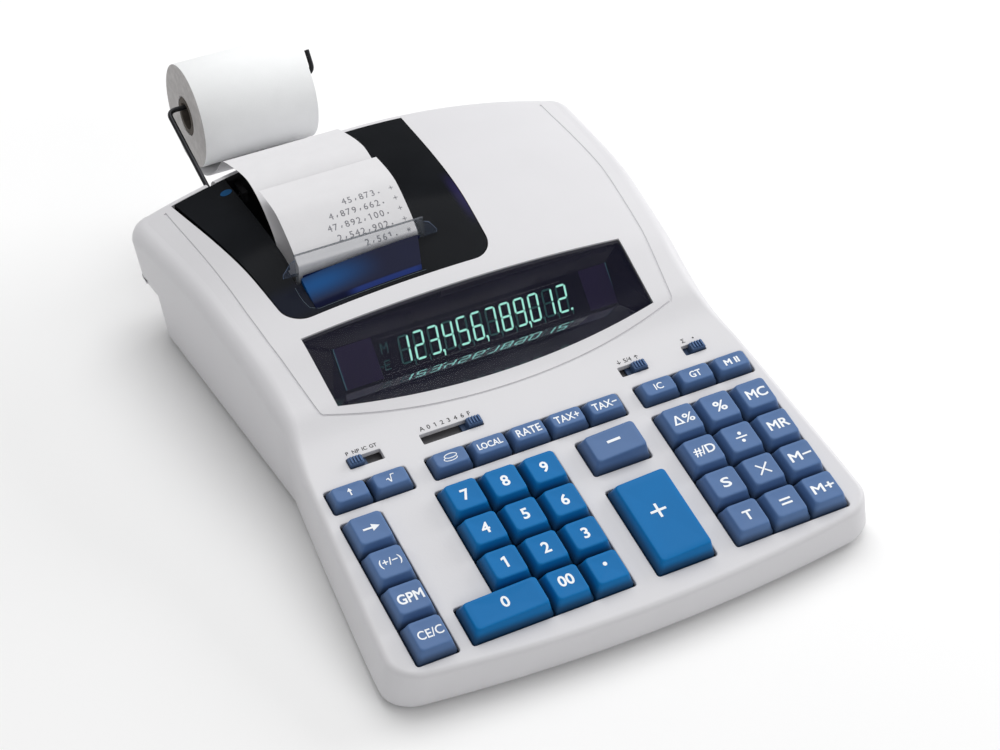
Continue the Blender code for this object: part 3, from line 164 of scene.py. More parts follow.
def smooth_table(table, share):
    """Read a table of pairs as a smooth curve through its points."""
    if share <= table[0][0]:
        return table[0][1]
    if share >= table[-1][0]:
        return table[-1][1]

    def slope(index):
        before = table[max(index - 1, 0)]
        after = table[min(index + 1, len(table) - 1)]
        return (after[1] - before[1]) / (after[0] - before[0])

    index = max(i for i, point in enumerate(table[:-1]) if point[0] <= share)
    start, end = table[index], table[index + 1]
    span = end[0] - start[0]
    t = (share - start[0]) / span
    return ((2 * t ** 3 - 3 * t ** 2 + 1) * start[1] + (t ** 3 - 2 * t ** 2 + t) * span * slope(index)
            + (3 * t ** 2 - 2 * t ** 3) * end[1] + (t ** 3 - t ** 2) * span * slope(index + 1))


def half_width(depth, front, waist, rear):
    """Half width of the waisted outline."""
    if depth < WAIST:
        return front + (waist - front) * (max(depth, 0.0) / WAIST) ** 1.3
    return waist + (rear - waist) * (depth - WAIST) / (CASE_DEPTH - WAIST)


def upper_width(depth):
    """Half width at the upper edge."""
    return half_width(depth, *UPPER_HALVES)


def lower_width(depth):
    """Half width at the lower edge."""
    return half_width(depth, *LOWER_HALVES)


def top_height(x, depth):
    """Height of the top surface: the flat deck, then the crowned hump."""
    flat = DECK_FRONT + math.tan(DECK_TILT) * depth
    rise = HUMP_RISE * smooth_table(rise_shares, (depth - HUMP_START) / (HUMP_END - HUMP_START))
    along = min(max((depth - WAIST) / (HUMP_END - WAIST), 0.0), 1.0)
    crown = CROWN_DROP * (1 - (1 - along) ** 2.3)
    return flat + rise - crown * (x / UPPER_HALVES[2]) ** 2


def on_top(x, depth, lift=0.0):
    """Model place on the top surface or a lift above it."""
    return at(x, depth, top_height(x, depth) + lift)


def edge_radius(depth):
    """Radius of the rounded upper edge: 3 mm along the keyboard, 8 mm along the hump."""
    share = min(max((depth - 105.0) / 55.0, 0.0), 1.0)
    return 3.0 + 5.0 * share * share * (3 - 2 * share)


def outline_place(column, row, width, inset):
    """Place of one grid point on the case's outline drawn inwards by inset."""
    base_x, corner_x = column
    depth, corner_y = row
    radius = FRONT_CORNER if corner_y < 0 else REAR_CORNER
    round_x = corner_x * math.sqrt(1 - corner_y ** 2 / 2)
    round_y = corner_y * math.sqrt(1 - corner_x ** 2 / 2)
    half = width(depth)
    x = base_x * (half - radius) + round_x * (radius - inset)
    place = depth + round_y * (radius - inset)
    return x, place + 9.0 * (x / half) ** 2 * max(0.0, 1 - place / 60.0)


# Mesh helpers
def link(name, mesh, paint=None):
    """Link a mesh as an object at the origin."""
    made = bpy.data.objects.new(name, mesh)
    bpy.context.scene.collection.objects.link(made)
    if paint is not None:
        mesh.materials.clear()
        mesh.materials.append(paint)
    return made


def mount(piece, body, node=None):
    """Let a finished piece ride on a body and in place of a node of the solids."""
    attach(piece, body)
    if node is not None:
        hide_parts(node)


def repaint(table):
    """Give nodes of the solids their finish: pairs of a node's name and a finish's name."""
    for node_name, finish_name in table:
        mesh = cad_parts[node_name].data
        mesh.materials.clear()
        mesh.materials.append(finish(finish_name))


def mesh_of(name, shape):
    """Turn a bmesh into a mesh as it is."""
    mesh = bpy.data.meshes.new(name)
    shape.to_mesh(mesh)
    shape.free()
    return mesh


def mesh_from(name, shape, sharp=35.0):
    """Turn a bmesh into a mesh shaded smooth up to a given angle."""
    bmesh.ops.recalc_face_normals(shape, faces=shape.faces)
    mesh = mesh_of(name, shape)
    mesh.shade_smooth()
    mesh.set_sharp_from_angle(angle=math.radians(sharp))
    return mesh


def bake(source, name, paint=None, sharp=35.0):
    """Turn an object and its live modifiers into a plain mesh piece at the origin."""
    graph = bpy.context.evaluated_depsgraph_get()
    mesh = bpy.data.meshes.new_from_object(source.evaluated_get(graph))
    mesh.transform(source.matrix_world)
    mesh.name = name
    bpy.data.objects.remove(source, do_unlink=True)
    mesh.shade_smooth()
    mesh.set_sharp_from_angle(angle=math.radians(sharp))
    return link(name, mesh, paint)


def bridge(shape, first, second):
    """Join two closed rings of points with faces."""
    count = len(first)
    for step in range(count):
        after = (step + 1) % count
        shape.faces.new((first[step], first[after], second[after], second[step]))


def loft(name, rings, closed=False, sharp=35.0):
    """Mesh through rings of places: capped at both ends, or closed on itself as a hollow ring."""
    shape = bmesh.new()
    loops = [[shape.verts.new(place) for place in ring] for ring in rings]
    for first, second in zip(loops, loops[1:] + (loops[:1] if closed else [])):
        bridge(shape, first, second)
    if not closed:
        shape.faces.new(loops[0])
        shape.faces.new(loops[-1])
    return mesh_from(name, shape, sharp)


def add_slab(shape, low, top):
    """Add a slab between two matching outlines of places, the top one counter-clockwise."""
    low = [shape.verts.new(place) for place in low]
    top = [shape.verts.new(place) for place in top]
    shape.faces.new(low[::-1])
    shape.faces.new(top)
    bridge(shape, low, top)


def box_mesh(name, low, high, bevel=0.0):
    """Box between two corners in millimetres, its edges rounded where a bevel is given."""
    shape = bmesh.new()
    bmesh.ops.create_cube(shape, size=1.0)
    low, high = Vector(low), Vector(high)
    bmesh.ops.scale(shape, vec=(high - low), verts=shape.verts)
    bmesh.ops.translate(shape, vec=(high + low) / 2, verts=shape.verts)
    if bevel:
        bmesh.ops.bevel(shape, geom=list(shape.edges), offset=bevel, segments=2, profile=0.5,
                        affect='EDGES')
    for vert in shape.verts:
        vert.co = at(*vert.co)
    return mesh_from(name, shape)


def rounded_outline(half_x, half_y, radius, steps=5):
    """Anticlockwise rounded rectangle about the origin."""
    points = []
    for sx, sy, start in ((1, -1, -90), (1, 1, 0), (-1, 1, 90), (-1, -1, 180)):
        for step in range(steps + 1):
            turn = math.radians(start + 90 * step / steps)
            points.append((sx * (half_x - radius) + radius * math.cos(turn),
                           sy * (half_y - radius) + radius * math.sin(turn)))
    return points


def merged(name, meshes):
    """One mesh out of several."""
    shape = bmesh.new()
    for mesh in meshes:
        shape.from_mesh(mesh)
    return mesh_of(name, shape)


def join(name, meshes, paint):
    """One object out of several meshes."""
    return link(name, merged(name, meshes), paint)


def circle(x, centre, radius, sides):
    """Circle of places that stands across X, about a depth and a height."""
    return [at(x, centre[0] + radius * math.cos(math.tau * k / sides),
               centre[1] + radius * math.sin(math.tau * k / sides)) for k in range(sides)]


def bend(before, here, after, reach, steps):
    """Points of the soft bend that replaces a sharp corner, within a reach of it."""
    into, out = (here - before).normalized(), (after - here).normalized()
    return [(1 - t) ** 2 * (here - into * reach) + 2 * t * (1 - t) * here + t ** 2 * (here + out * reach)
            for t in (k / steps for k in range(steps + 1))]


def between(points, steps):
    """Points in equal steps along a line of points, without its last one."""
    return [first.lerp(second, k / steps) for first, second in zip(points, points[1:])
            for k in range(steps)]


def counter_clockwise(outline):
    """The outline in the order that makes its face look up."""
    area = sum(a[0] * b[1] - b[0] * a[1] for a, b in zip(outline, outline[1:] + outline[:1]))
    return outline if area > 0 else outline[::-1]


def tube_mesh(name, route, radius, sides):
    """Closed tube of a given radius along a route of places, in metres."""
    rings = []
    up = Vector((1, 0, 0))
    for index, place in enumerate(route):
        along = (route[min(index + 1, len(route) - 1)] - route[max(index - 1, 0)]).normalized()
        side = along.cross(up)
        if side.length < 0.05:
            side = along.cross(Vector((0, 0, 1)))
        side.normalize()
        up = side.cross(along).normalized()
        rings.append([place + (side * math.cos(math.tau * k / sides) + up * math.sin(math.tau * k / sides))
                      * radius for k in range(sides)])
    return loft(name, rings)


def boolean(target, tools, operation='DIFFERENCE'):
    """Boolean a target with tools, one after another, and drop the tools."""
    for tool in tools:
        modifier = target.modifiers.new("cut", 'BOOLEAN')
        modifier.operation = operation
        modifier.solver = 'EXACT'
        modifier.object = tool
    graph = bpy.context.evaluated_depsgraph_get()
    mesh = bpy.data.meshes.new_from_object(target.evaluated_get(graph))
    target.modifiers.clear()
    target.data = mesh
    for tool in tools:
        bpy.data.objects.remove(tool, do_unlink=True)


# Materials
def wire_up(tree, *wires):
    """Connect sockets in a node tree: each wire is a node, its output, the next node and its input."""
    for source, outlet, target, inlet in wires:
        tree.links.new(source.outputs[outlet], target.inputs[inlet])


def new_node(tree, kind, values=(), **settings):
    """A new node with its settings and the values of its inputs."""
    node = tree.nodes.new(kind)
    for name, value in settings.items():
        setattr(node, name, value)
    for socket, value in dict(values).items():
        node.inputs[socket].default_value = value
    return node


def material(name, colour, roughness=0.4, metallic=0.0, alpha=1.0, specular=0.5, grain=0.0,
             grain_scale=900.0, mottle=0.0, mottle_scale=40.0, rough_mottle=0.0):
    """Procedural finish: base colour with faint mottling, uneven gloss and a moulded grain."""
    made = bpy.data.materials.new(name)
    made.use_nodes = True
    tree = made.node_tree
    shader = tree.nodes["Principled BSDF"]
    for socket, value in (("Base Color", (*colour, 1.0)), ("Roughness", roughness), ("Metallic", metallic),
                          ("Alpha", alpha), ("Specular IOR Level", specular)):
        shader.inputs[socket].default_value = value
    made.diffuse_color = (*colour, alpha)
    place = new_node(tree, "ShaderNodeTexCoord")

    def noise(scale, detail):
        node = new_node(tree, "ShaderNodeTexNoise", {"Scale": scale, "Detail": detail})
        wire_up(tree, (place, "Object", node, "Vector"))
        return node

    if mottle or rough_mottle:
        broad = noise(mottle_scale, 4.0)
        if mottle:
            ramp = new_node(tree, "ShaderNodeValToRGB")
            for stop, position, share in zip(ramp.color_ramp.elements, (0.3, 0.7), (1 - mottle, 1 + mottle)):
                stop.position = position
                stop.color = (*[min(c * share, 1.0) for c in colour], 1.0)
            wire_up(tree, (broad, "Fac", ramp, "Fac"), (ramp, "Color", shader, "Base Color"))
        if rough_mottle:
            spread = new_node(tree, "ShaderNodeMapRange", {"To Min": roughness - rough_mottle,
                                                           "To Max": roughness + rough_mottle})
            wire_up(tree, (broad, "Fac", spread, "Value"), (spread, "Result", shader, "Roughness"))
    if grain:
        bump = new_node(tree, "ShaderNodeBump", {"Strength": grain, "Distance": 0.1 * MM})
        wire_up(tree, (noise(grain_scale, 3.0), "Fac", bump, "Height"), (bump, "Normal", shader, "Normal"))
    return made


def glow(name, colour, strength):
    """Glowing finish: the lit phosphor of the display tube, and the painted glow of its unlit marks and glass
    ends.
    """
    made = material(name, [c * 0.3 for c in colour], 0.5)
    shader = made.node_tree.nodes["Principled BSDF"]
    shader.inputs["Emission Color"].default_value = (*colour, 1.0)
    shader.inputs["Emission Strength"].default_value = strength
    return made


def soft_step(tree, start, end, rising=True):
    """Node that goes softly from 0 to 1 between two values, or from 1 to 0."""
    return new_node(tree, "ShaderNodeMapRange", {
        "From Min": start, "From Max": end, "To Min": 0.0 if rising else 1.0,
        "To Max": 1.0 if rising else 0.0}, interpolation_type='SMOOTHSTEP')


def mix_in(made, share, colour, strength):
    """Blend a colour over a finish by a share that its place gives."""
    tree = made.node_tree
    shader = tree.nodes["Principled BSDF"]
    weight = new_node(tree, "ShaderNodeMath", {1: strength}, operation='MULTIPLY')
    tree.links.new(share, weight.inputs[0])
    blend = new_node(tree, "ShaderNodeMix", data_type='RGBA')
    under = shader.inputs["Base Color"]
    if under.is_linked:
        tree.links.new(under.links[0].from_socket, blend.inputs["A"])
    else:
        blend.inputs["A"].default_value = under.default_value[:]
    blend.inputs["B"].default_value = (*colour, 1.0)
    wire_up(tree, (weight, "Value", blend, "Factor"), (blend, "Result", shader, "Base Color"))


def paint_skirt_shade(made, colour, full, none, strength):
    """Paint shade into a keycap's finish towards the deck, between two heights above it in millimetres, for
    the dark between close keys.
    """
    tree = made.node_tree
    foot = deck(0, 0)
    normal = (deck(0, 0, 1) - foot).normalized()
    level = foot.dot(normal)
    above = new_node(tree, "ShaderNodeVectorMath", {1: normal}, operation='DOT_PRODUCT')
    ramp = soft_step(tree, level + full * MM, level + none * MM, rising=False)
    wire_up(tree, (new_node(tree, "ShaderNodeTexCoord"), "Object", above, 0), (above, "Value", ramp, "Value"))
    mix_in(made, ramp.outputs["Result"], colour, strength)


def add_painted_light(made, colour, low, high, soft, strength):
    """Paint light into a finish inside a box of places in millimetres, with a soft edge along each axis."""
    tree = made.node_tree
    split = new_node(tree, "ShaderNodeSeparateXYZ")
    wire_up(tree, (new_node(tree, "ShaderNodeTexCoord"), "Object", split, "Vector"))
    share = None
    for axis, start, end, edge in zip("XYZ", at(*low), at(*high), soft):
        for ramp in (soft_step(tree, start, start + edge * MM),
                     soft_step(tree, end - edge * MM, end, rising=False)):
            wire_up(tree, (split, axis, ramp, "Value"))
            if share is None:
                share = ramp.outputs["Result"]
                continue
            both = new_node(tree, "ShaderNodeMath", operation='MULTIPLY')
            tree.links.new(share, both.inputs[0])
            wire_up(tree, (ramp, "Result", both, 1))
            share = both.outputs["Value"]
    mix_in(made, share, colour, strength)


# Every plain finish: its material's name, its colour or the setting that holds it, its roughness
# and the rest of what material() takes
key_grain = {"grain": 0.15, "grain_scale": 1400.0, "mottle": 0.03, "rough_mottle": 0.05}
paper_grain = {"specular": 0.2, "grain": 0.3, "grain_scale": 1500.0, "mottle": 0.012,
               "mottle_scale": 120.0}
plain_finishes = {
    "case": ("case_shell", "case_colour", 0.42,
             {"specular": 0.4, "grain": 0.22, "mottle": 0.010, "rough_mottle": 0.04}),
    "base": ("base_shell", "case_colour", 0.5, {"specular": 0.4, "grain": 0.3, "mottle": 0.02}),
    # Near black for inside faces and parts in the case: painted shade inside the case
    "inner": ("inner_plastic", (0.030, 0.030, 0.034), 0.6, {"grain": 0.2, "mottle": 0.05}),
    "number_key": ("number_key", "number_key_colour", 0.38, {"specular": 0.10, **key_grain}),
    "function_key": ("function_key", "function_key_colour", 0.4, {"specular": 0.2, **key_grain}),
    "legend": ("white_legend", (0.86, 0.89, 0.92), 0.5, {"mottle": 0.02, "mottle_scale": 300.0}),
    "black_print": ("black_print", (0.015, 0.015, 0.018), 0.5, {"mottle": 0.1, "mottle_scale": 400.0}),
    "slot": ("slot_liner", (0.10, 0.098, 0.105), 0.5, {"grain": 0.2, "mottle": 0.05}),
    "smoke": ("smoked_cover", (0.009, 0.010, 0.012), 0.16,
              {"specular": 0.025, "alpha": 0.96, "mottle": 0.15, "rough_mottle": 0.02}),
    "ramp": ("ramp_blue", (0.006, 0.008, 0.030), 0.2, {"specular": 0.06, "mottle": 0.1}),
    "spot": ("blue_spot", (0.006, 0.062, 0.165), 0.3, {"specular": 0.05, "mottle": 0.1}),
    "line": ("contour_line", (0.035, 0.060, 0.085), 0.3, {"mottle": 0.1}),
    "lens": ("smoked_lens", (0.012, 0.012, 0.024), 0.05,
             {"specular": 0.04, "alpha": 0.50, "mottle": 0.15, "rough_mottle": 0.01}),
    "tray": ("display_tray", (0.014, 0.012, 0.024), 0.12, {"mottle": 0.1, "rough_mottle": 0.03}),
    "mirror": ("display_floor", (0.52, 0.54, 0.60), 0.05,
               {"metallic": 1.0, "mottle": 0.1, "rough_mottle": 0.02}),
    "end": ("display_end", (0.160, 0.105, 0.340), 0.3, {"mottle": 0.1}),
    "tube": ("tube_glass", (0.008, 0.012, 0.014), 0.10, {"mottle": 0.1, "rough_mottle": 0.02}),
    "clear": ("clear_bar", (0.36, 0.40, 0.46), 0.05, {"specular": 0.4, "alpha": 0.10, "mottle": 0.03}),
    "clear_edge": ("clear_edge", (0.10, 0.11, 0.13), 0.2, {"alpha": 0.75, "mottle": 0.1}),
    "clip": ("clear_clip", (0.10, 0.13, 0.20), 0.05, {"specular": 0.5, "alpha": 0.16, "mottle": 0.05}),
    # Painted glint lines on the clear clips' edges
    "rim": ("clip_rim", (0.10, 0.14, 0.22), 0.2, {"specular": 0.6, "mottle": 0.1}),
    "band": ("blue_band", (0.007, 0.012, 0.055), 0.2, {"specular": 0.08, "mottle": 0.1}),
    # The strip is the same paper as the roll, painted darker: painted shade that offsets the strong light on
    # it from above
    "strip": ("strip_paper", (0.70, 0.695, 0.71), 0.85, paper_grain),
    "paper": ("roll_paper", (0.87, 0.88, 0.885), 0.85, paper_grain),
    # The roll's ends: grey for the layered paper edge and for painted shade on their side away from the light
    "roll_end": ("roll_end", (0.50, 0.485, 0.48), 0.9, {"specular": 0.1, "grain": 0.5,
                 "grain_scale": 2500.0, "mottle": 0.10, "mottle_scale": 300.0}),
    "ink": ("grey_ink", (0.21, 0.21, 0.23), 0.8, {"mottle": 0.45, "mottle_scale": 1500.0}),
    "card": ("core_card", (0.075, 0.062, 0.052), 0.9,
             {"grain": 0.5, "mottle": 0.2, "mottle_scale": 250.0}),
    "wire": ("black_wire", (0.020, 0.020, 0.023), 0.32,
             {"metallic": 0.75, "mottle": 0.15, "rough_mottle": 0.08}),
    "steel": ("dark_steel", (0.10, 0.10, 0.11), 0.4,
              {"metallic": 1.0, "mottle": 0.1, "rough_mottle": 0.08}),
    "screw": ("plated_screw", (0.50, 0.51, 0.52), 0.35,
              {"metallic": 1.0, "mottle": 0.06, "rough_mottle": 0.08}),
    "rubber": ("platen_rubber", (0.020, 0.020, 0.022), 0.75, {"grain": 0.4, "mottle": 0.1}),
    "ribbon": ("ribbon_case", (0.014, 0.014, 0.017), 0.45, {"grain": 0.2, "mottle": 0.1}),
    "gear": ("gear_nylon", (0.60, 0.59, 0.55), 0.5, {"mottle": 0.03}),
    "floor": ("studio_floor", (0.93, 0.93, 0.93), 0.8,
              {"specular": 0.1, "mottle": 0.003, "mottle_scale": 3.0}),
}
# Glowing finishes: the material's name, its colour and its strength. Only the lit segments are a lamp; the
# glow of the unlit segments, the dashes and the tube's glass ends is painted light
glowing_finishes = {
    "edge": ("display_edge", (0.24, 0.62, 0.75), 0.6),
    "lit": ("lit_segment", (0.44, 1.0, 0.84), 3.0),
    "unlit": ("unlit_segment", (0.16, 0.70, 0.64), 0.16),
    "dash": ("dashed_line", (0.62, 0.58, 0.64), 0.34),
}
# Painted light by place: reflections on the smoked cover and highlights on the blue ramp; colour, the box's
# two corners, the softness along each axis and the strength
painted_light_boxes = {
    # Violet and navy painted reflections on the smoked cover
    "smoke": (((0.032, 0.024, 0.110), (15.5, 196, 60), (25, 236, 110), (5.0, 16.0, 1.0), 0.5),
              ((0.010, 0.018, 0.060), (-90, 178, 40), (-44, 204, 110), (9.0, 9.0, 1.0), 0.2)),
    # Painted highlights on the blue ramp: bright blue on its left and a reflection streak along its front
    # edge
    "ramp": (((0.002, 0.080, 0.270), (-95, 185.0, 60), (-27, 203.5, 110), (34.0, 9.0, 1.0), 0.8),
             ((0.026, 0.052, 0.230), (-52, 182.8, 60), (-10, 186.2, 110), (8.0, 1.0, 1.0), 0.65)),
}
# Painted shade at the foot of the keycaps, for the dark between close keys: colour, the heights where it is
# full and gone, and its strength
painted_skirt_shades = {
    "number_key": ((0.016, 0.026, 0.045), 0.4, 4.6, 0.75),
    "function_key": ((0.022, 0.032, 0.055), 0.2, 3.7, 0.7),
}
finishes = {}


def look():
    """The add-on's settings."""
    return bpy.context.scene.calculator_look


def finish(name):
    """The named finish, made on first use."""
    if name not in finishes and name in glowing_finishes:
        finishes[name] = glow(*glowing_finishes[name])
    if name not in finishes:
        label, colour, roughness, rest = plain_finishes[name]
        if isinstance(colour, str):
            colour = getattr(look(), colour)
        made = material(label, colour, roughness, **rest)
        # Painted reflections and highlights by place
        for tint in painted_light_boxes.get(name, ()):
            add_painted_light(made, *tint)
        # Painted shade on the keycaps' feet
        if name in painted_skirt_shades:
            paint_skirt_shade(made, *painted_skirt_shades[name])
        finishes[name] = made
    return finishes[name]


# The case's skin
def case_skin(name, wall, finish_name):
    """The case's outer skin in fine steps: crowned top, rounded edge and side walls."""
    corner = [math.sin(math.pi / 2 * step / 6) for step in range(1, 7)]
    columns = [(-1.0, -share) for share in reversed(corner)]
    columns += [(-1.0 + 2.0 * step / 36, 0.0) for step in range(37)]
    columns += [(1.0, share) for share in corner]
    rows = [(FRONT_CORNER, -share) for share in reversed(corner)]
    rows += [(FRONT_CORNER + (HUMP_START - FRONT_CORNER) * step / 14, 0.0) for step in range(14)]
    rear = CASE_DEPTH - REAR_CORNER
    rows += [(HUMP_START + (rear - HUMP_START) * step / 48, 0.0) for step in range(49)]
    rows += [(rear, share) for share in corner]
    shape = bmesh.new()
    grid = []
    for column in columns:
        line = []
        for row in rows:
            x, depth = outline_place(column, row, upper_width, edge_radius(row[0]))
            line.append(shape.verts.new((x, depth, top_height(x, depth))))
        grid.append(line)
    for i in range(len(columns) - 1):
        for j in range(len(rows) - 1):
            shape.faces.new((grid[i][j], grid[i + 1][j], grid[i + 1][j + 1], grid[i][j + 1]))
    last_column, last_row = len(columns) - 1, len(rows) - 1
    around = [(i, 0) for i in range(last_column)]
    around += [(last_column, j) for j in range(last_row)]
    around += [(i, last_row) for i in range(last_column, 0, -1)]
    around += [(0, j) for j in range(last_row, 0, -1)]
    ring = [grid[i][j] for i, j in around]
    heights = [vert.co.z for vert in ring]
    for step in range(1, 7):
        angle = math.pi / 2 * (1 - step / 6)
        below = []
        for (i, j), height in zip(around, heights):
            radius = edge_radius(rows[j][0])
            x, depth = outline_place(columns[i], rows[j], upper_width, radius * (1 - math.cos(angle)))
            below.append(shape.verts.new((x, depth, height - radius * (1 - math.sin(angle)))))
        bridge(shape, below, ring)
        ring = below
    foot = []
    for i, j in around:
        x, depth = outline_place(columns[i], rows[j], lower_width, 0.0)
        foot.append(shape.verts.new((x, depth, SKIRT_BOTTOM)))
    bridge(shape, foot, ring)
    for vert in shape.verts:
        vert.co = at(*vert.co)
    made = link(name, mesh_from(name, shape, 60.0), finish(finish_name))
    shell = made.modifiers.new("wall", 'SOLIDIFY')
    shell.thickness = wall * MM
    shell.offset = -1.0
    shell.use_even_offset = True
    return made


def prism(name, outline, low, high, rounded=()):
    """Upright prism of an outline in millimetres, the corners of the given indices rounded."""
    shape = bmesh.new()
    face = shape.faces.new([shape.verts.new((x, y, low)) for x, y in outline])
    pulled = bmesh.ops.extrude_face_region(shape, geom=[face])
    top = [item for item in pulled["geom"] if isinstance(item, bmesh.types.BMVert)]
    bmesh.ops.translate(shape, vec=(0, 0, high - low), verts=top)
    if rounded:
        corners = [Vector(outline[index]) for index in rounded]
        edges = [edge for edge in shape.edges
                 if abs(edge.verts[0].co.z - edge.verts[1].co.z) > (high - low) / 2
                 and any((edge.verts[0].co.xy - corner).length < 0.1 for corner in corners)]
        bmesh.ops.bevel(shape, geom=edges, offset=10.0, segments=10, profile=0.5, affect='EDGES')
    for vert in shape.verts:
        vert.co = at(*vert.co)
    return link(name, mesh_from(name, shape))


def lens_outline(clearance):
    """The display window's outline."""
    outline = []
    wide, rear_half = (half - clearance for half in LENS_HALVES)
    front, rear = LENS_DEPTHS
    for step in range(33):
        share = -1.0 + step / 16
        outline.append((share * wide, front + clearance - LENS_BULGE * (1 - share ** 2)))
    return outline + [(rear_half, rear - clearance), (-rear_half, rear - clearance)]


def cover_outline(clearance, hinge_slack=0.0):
    """The printer cover's outline, with more room at the corner that swings."""
    return [(COVER_LEFT[0] + clearance, COVER_FRONT + clearance),
            (COVER_RIGHT[0] - clearance, COVER_FRONT + clearance),
            (COVER_RIGHT[1] - clearance, HUMP_END - clearance),
            (COVER_LEFT[1] + clearance + hinge_slack, HUMP_END - clearance)]


def well_cutter(outline, lip=0.55):
    """Cutter for a well in the deck: upright below, rolled outwards at the deck's face."""
    count = len(outline)
    normals = []
    for index in range(count):
        before, after = Vector(outline[index - 1]), Vector(outline[(index + 1) % count])
        here = Vector(outline[index])
        first, second = (here - before), (after - here)
        first = Vector((first.y, -first.x)).normalized()
        second = Vector((second.y, -second.x)).normalized()
        both = first + second
        normals.append(both / max(both.length_squared / 2, 0.5))
    rings = []
    levels = [(-9.0, 0.0)] + [(-lip * (1 - math.sin(a)) + 0.01, lip * (1 - math.cos(a)))
                              for a in (0.0, 0.4, 0.8, 1.2, 1.5)] + [(3.0, lip)]
    for height, grow in levels:
        rings.append([deck(x + n.x * grow, y + n.y * grow, height)
                      for (x, y), n in zip(outline, normals)])
    return link("well", loft("well", rings))


def rounded_box(x_low, x_high, y_low, y_high, radius):
    """Rounded rectangle outline between limits."""
    middle_x, middle_y = (x_low + x_high) / 2, (y_low + y_high) / 2
    return [(middle_x + x, middle_y + y)
            for x, y in rounded_outline((x_high - x_low) / 2, (y_high - y_low) / 2, radius, 4)]


# Node trees
def node_group(name, sockets):
    """Geometry Nodes group with named inputs; returns it with its nodes for input and output."""
    tree = bpy.data.node_groups.new(name, 'GeometryNodeTree')
    tree.interface.new_socket("Geometry", in_out='OUTPUT', socket_type='NodeSocketGeometry')
    for label, kind, value in sockets:
        socket = tree.interface.new_socket(label, in_out='INPUT', socket_type=kind)
        if value is not None:
            socket.default_value = value
    return tree, tree.nodes.new('NodeGroupInput'), tree.nodes.new('NodeGroupOutput')


def finish_group(tree, source, entry, outlet):
    """End a group in Realize Instances and Set Material."""
    real = new_node(tree, 'GeometryNodeRealizeInstances')
    paint = new_node(tree, 'GeometryNodeSetMaterial')
    tree.links.new(source, real.inputs["Geometry"])
    wire_up(tree, (real, "Geometry", paint, "Geometry"), (entry, "Material", paint, "Material"),
            (paint, "Geometry", outlet, "Geometry"))
    return tree


def bar_row_group():
    """A row of equal bars: how many, the step between them, the size of one and its unevenness."""
    tree, entry, outlet = node_group("bar_row", (
        ("Count", 'NodeSocketInt', 3), ("Step", 'NodeSocketVector', (0.002, 0.0, 0.0)),
        ("Size", 'NodeSocketVector', (0.001, 0.003, 0.001)), ("Seed", 'NodeSocketInt', 7),
        ("Unevenness", 'NodeSocketFloat', 0.0), ("Material", 'NodeSocketMaterial', None)))
    line = new_node(tree, 'GeometryNodeMeshLine')
    cube = new_node(tree, 'GeometryNodeMeshCube')
    spread = new_node(tree, 'FunctionNodeRandomValue', data_type='FLOAT')
    spread.inputs["Min"].default_value = 1.0
    place = new_node(tree, 'GeometryNodeInstanceOnPoints')
    top = new_node(tree, 'ShaderNodeMath', {0: 1.0}, operation='ADD')
    wire_up(tree, (entry, "Unevenness", top, 1), (entry, "Count", line, "Count"),
            (entry, "Step", line, "Offset"), (entry, "Size", cube, "Size"), (entry, "Seed", spread, "Seed"),
            (top, "Value", spread, "Max"), (line, "Mesh", place, "Points"),
            (cube, "Mesh", place, "Instance"), (spread, "Value", place, "Scale"))
    return finish_group(tree, place.outputs["Instances"], entry, outlet)


def wire_group():
    """A round wire along the object's own edges: its radius and how many sides it has."""
    tree, entry, outlet = node_group("bent_wire", (
        ("Route", 'NodeSocketGeometry', None), ("Radius", 'NodeSocketFloat', 0.001),
        ("Sides", 'NodeSocketInt', 16), ("Material", 'NodeSocketMaterial', None)))
    line = new_node(tree, 'GeometryNodeMeshToCurve')
    ring = new_node(tree, 'GeometryNodeCurvePrimitiveCircle')
    sweep = new_node(tree, 'GeometryNodeCurveToMesh', {"Fill Caps": True})
    wire_up(tree, (entry, "Route", line, "Mesh"), (entry, "Radius", ring, "Radius"),
            (entry, "Sides", ring, "Resolution"), (line, "Curve", sweep, "Curve"),
            (ring, "Curve", sweep, "Profile Curve"))
    return finish_group(tree, sweep.outputs["Mesh"], entry, outlet)


def screw_group():
    """Screw heads at the object's own points: the head's radius, rise and sides, each turned at random."""
    tree, entry, outlet = node_group("screw_heads", (
        ("Places", 'NodeSocketGeometry', None), ("Radius", 'NodeSocketFloat', 0.003),
        ("Rise", 'NodeSocketFloat', 0.001), ("Sides", 'NodeSocketInt', 24),
        ("Seed", 'NodeSocketInt', 3), ("Material", 'NodeSocketMaterial', None)))
    head = new_node(tree, 'GeometryNodeMeshCone')
    twist = new_node(tree, 'FunctionNodeRandomValue', data_type='FLOAT')
    twist.inputs["Max"].default_value = math.pi
    turn = new_node(tree, 'ShaderNodeCombineXYZ')
    shrink = new_node(tree, 'ShaderNodeMath', {1: 0.82}, operation='MULTIPLY')
    points = new_node(tree, 'GeometryNodeMeshToPoints')
    place = new_node(tree, 'GeometryNodeInstanceOnPoints')
    wire_up(tree, (entry, "Places", points, "Mesh"), (entry, "Radius", shrink, 0),
            (shrink, "Value", head, "Radius Bottom"), (entry, "Radius", head, "Radius Top"),
            (entry, "Rise", head, "Depth"), (entry, "Sides", head, "Vertices"),
            (entry, "Seed", twist, "Seed"), (twist, "Value", turn, "Z"),
            (turn, "Vector", place, "Rotation"), (points, "Points", place, "Points"),
            (head, "Mesh", place, "Instance"))
    return finish_group(tree, place.outputs["Instances"], entry, outlet)


groups = {}


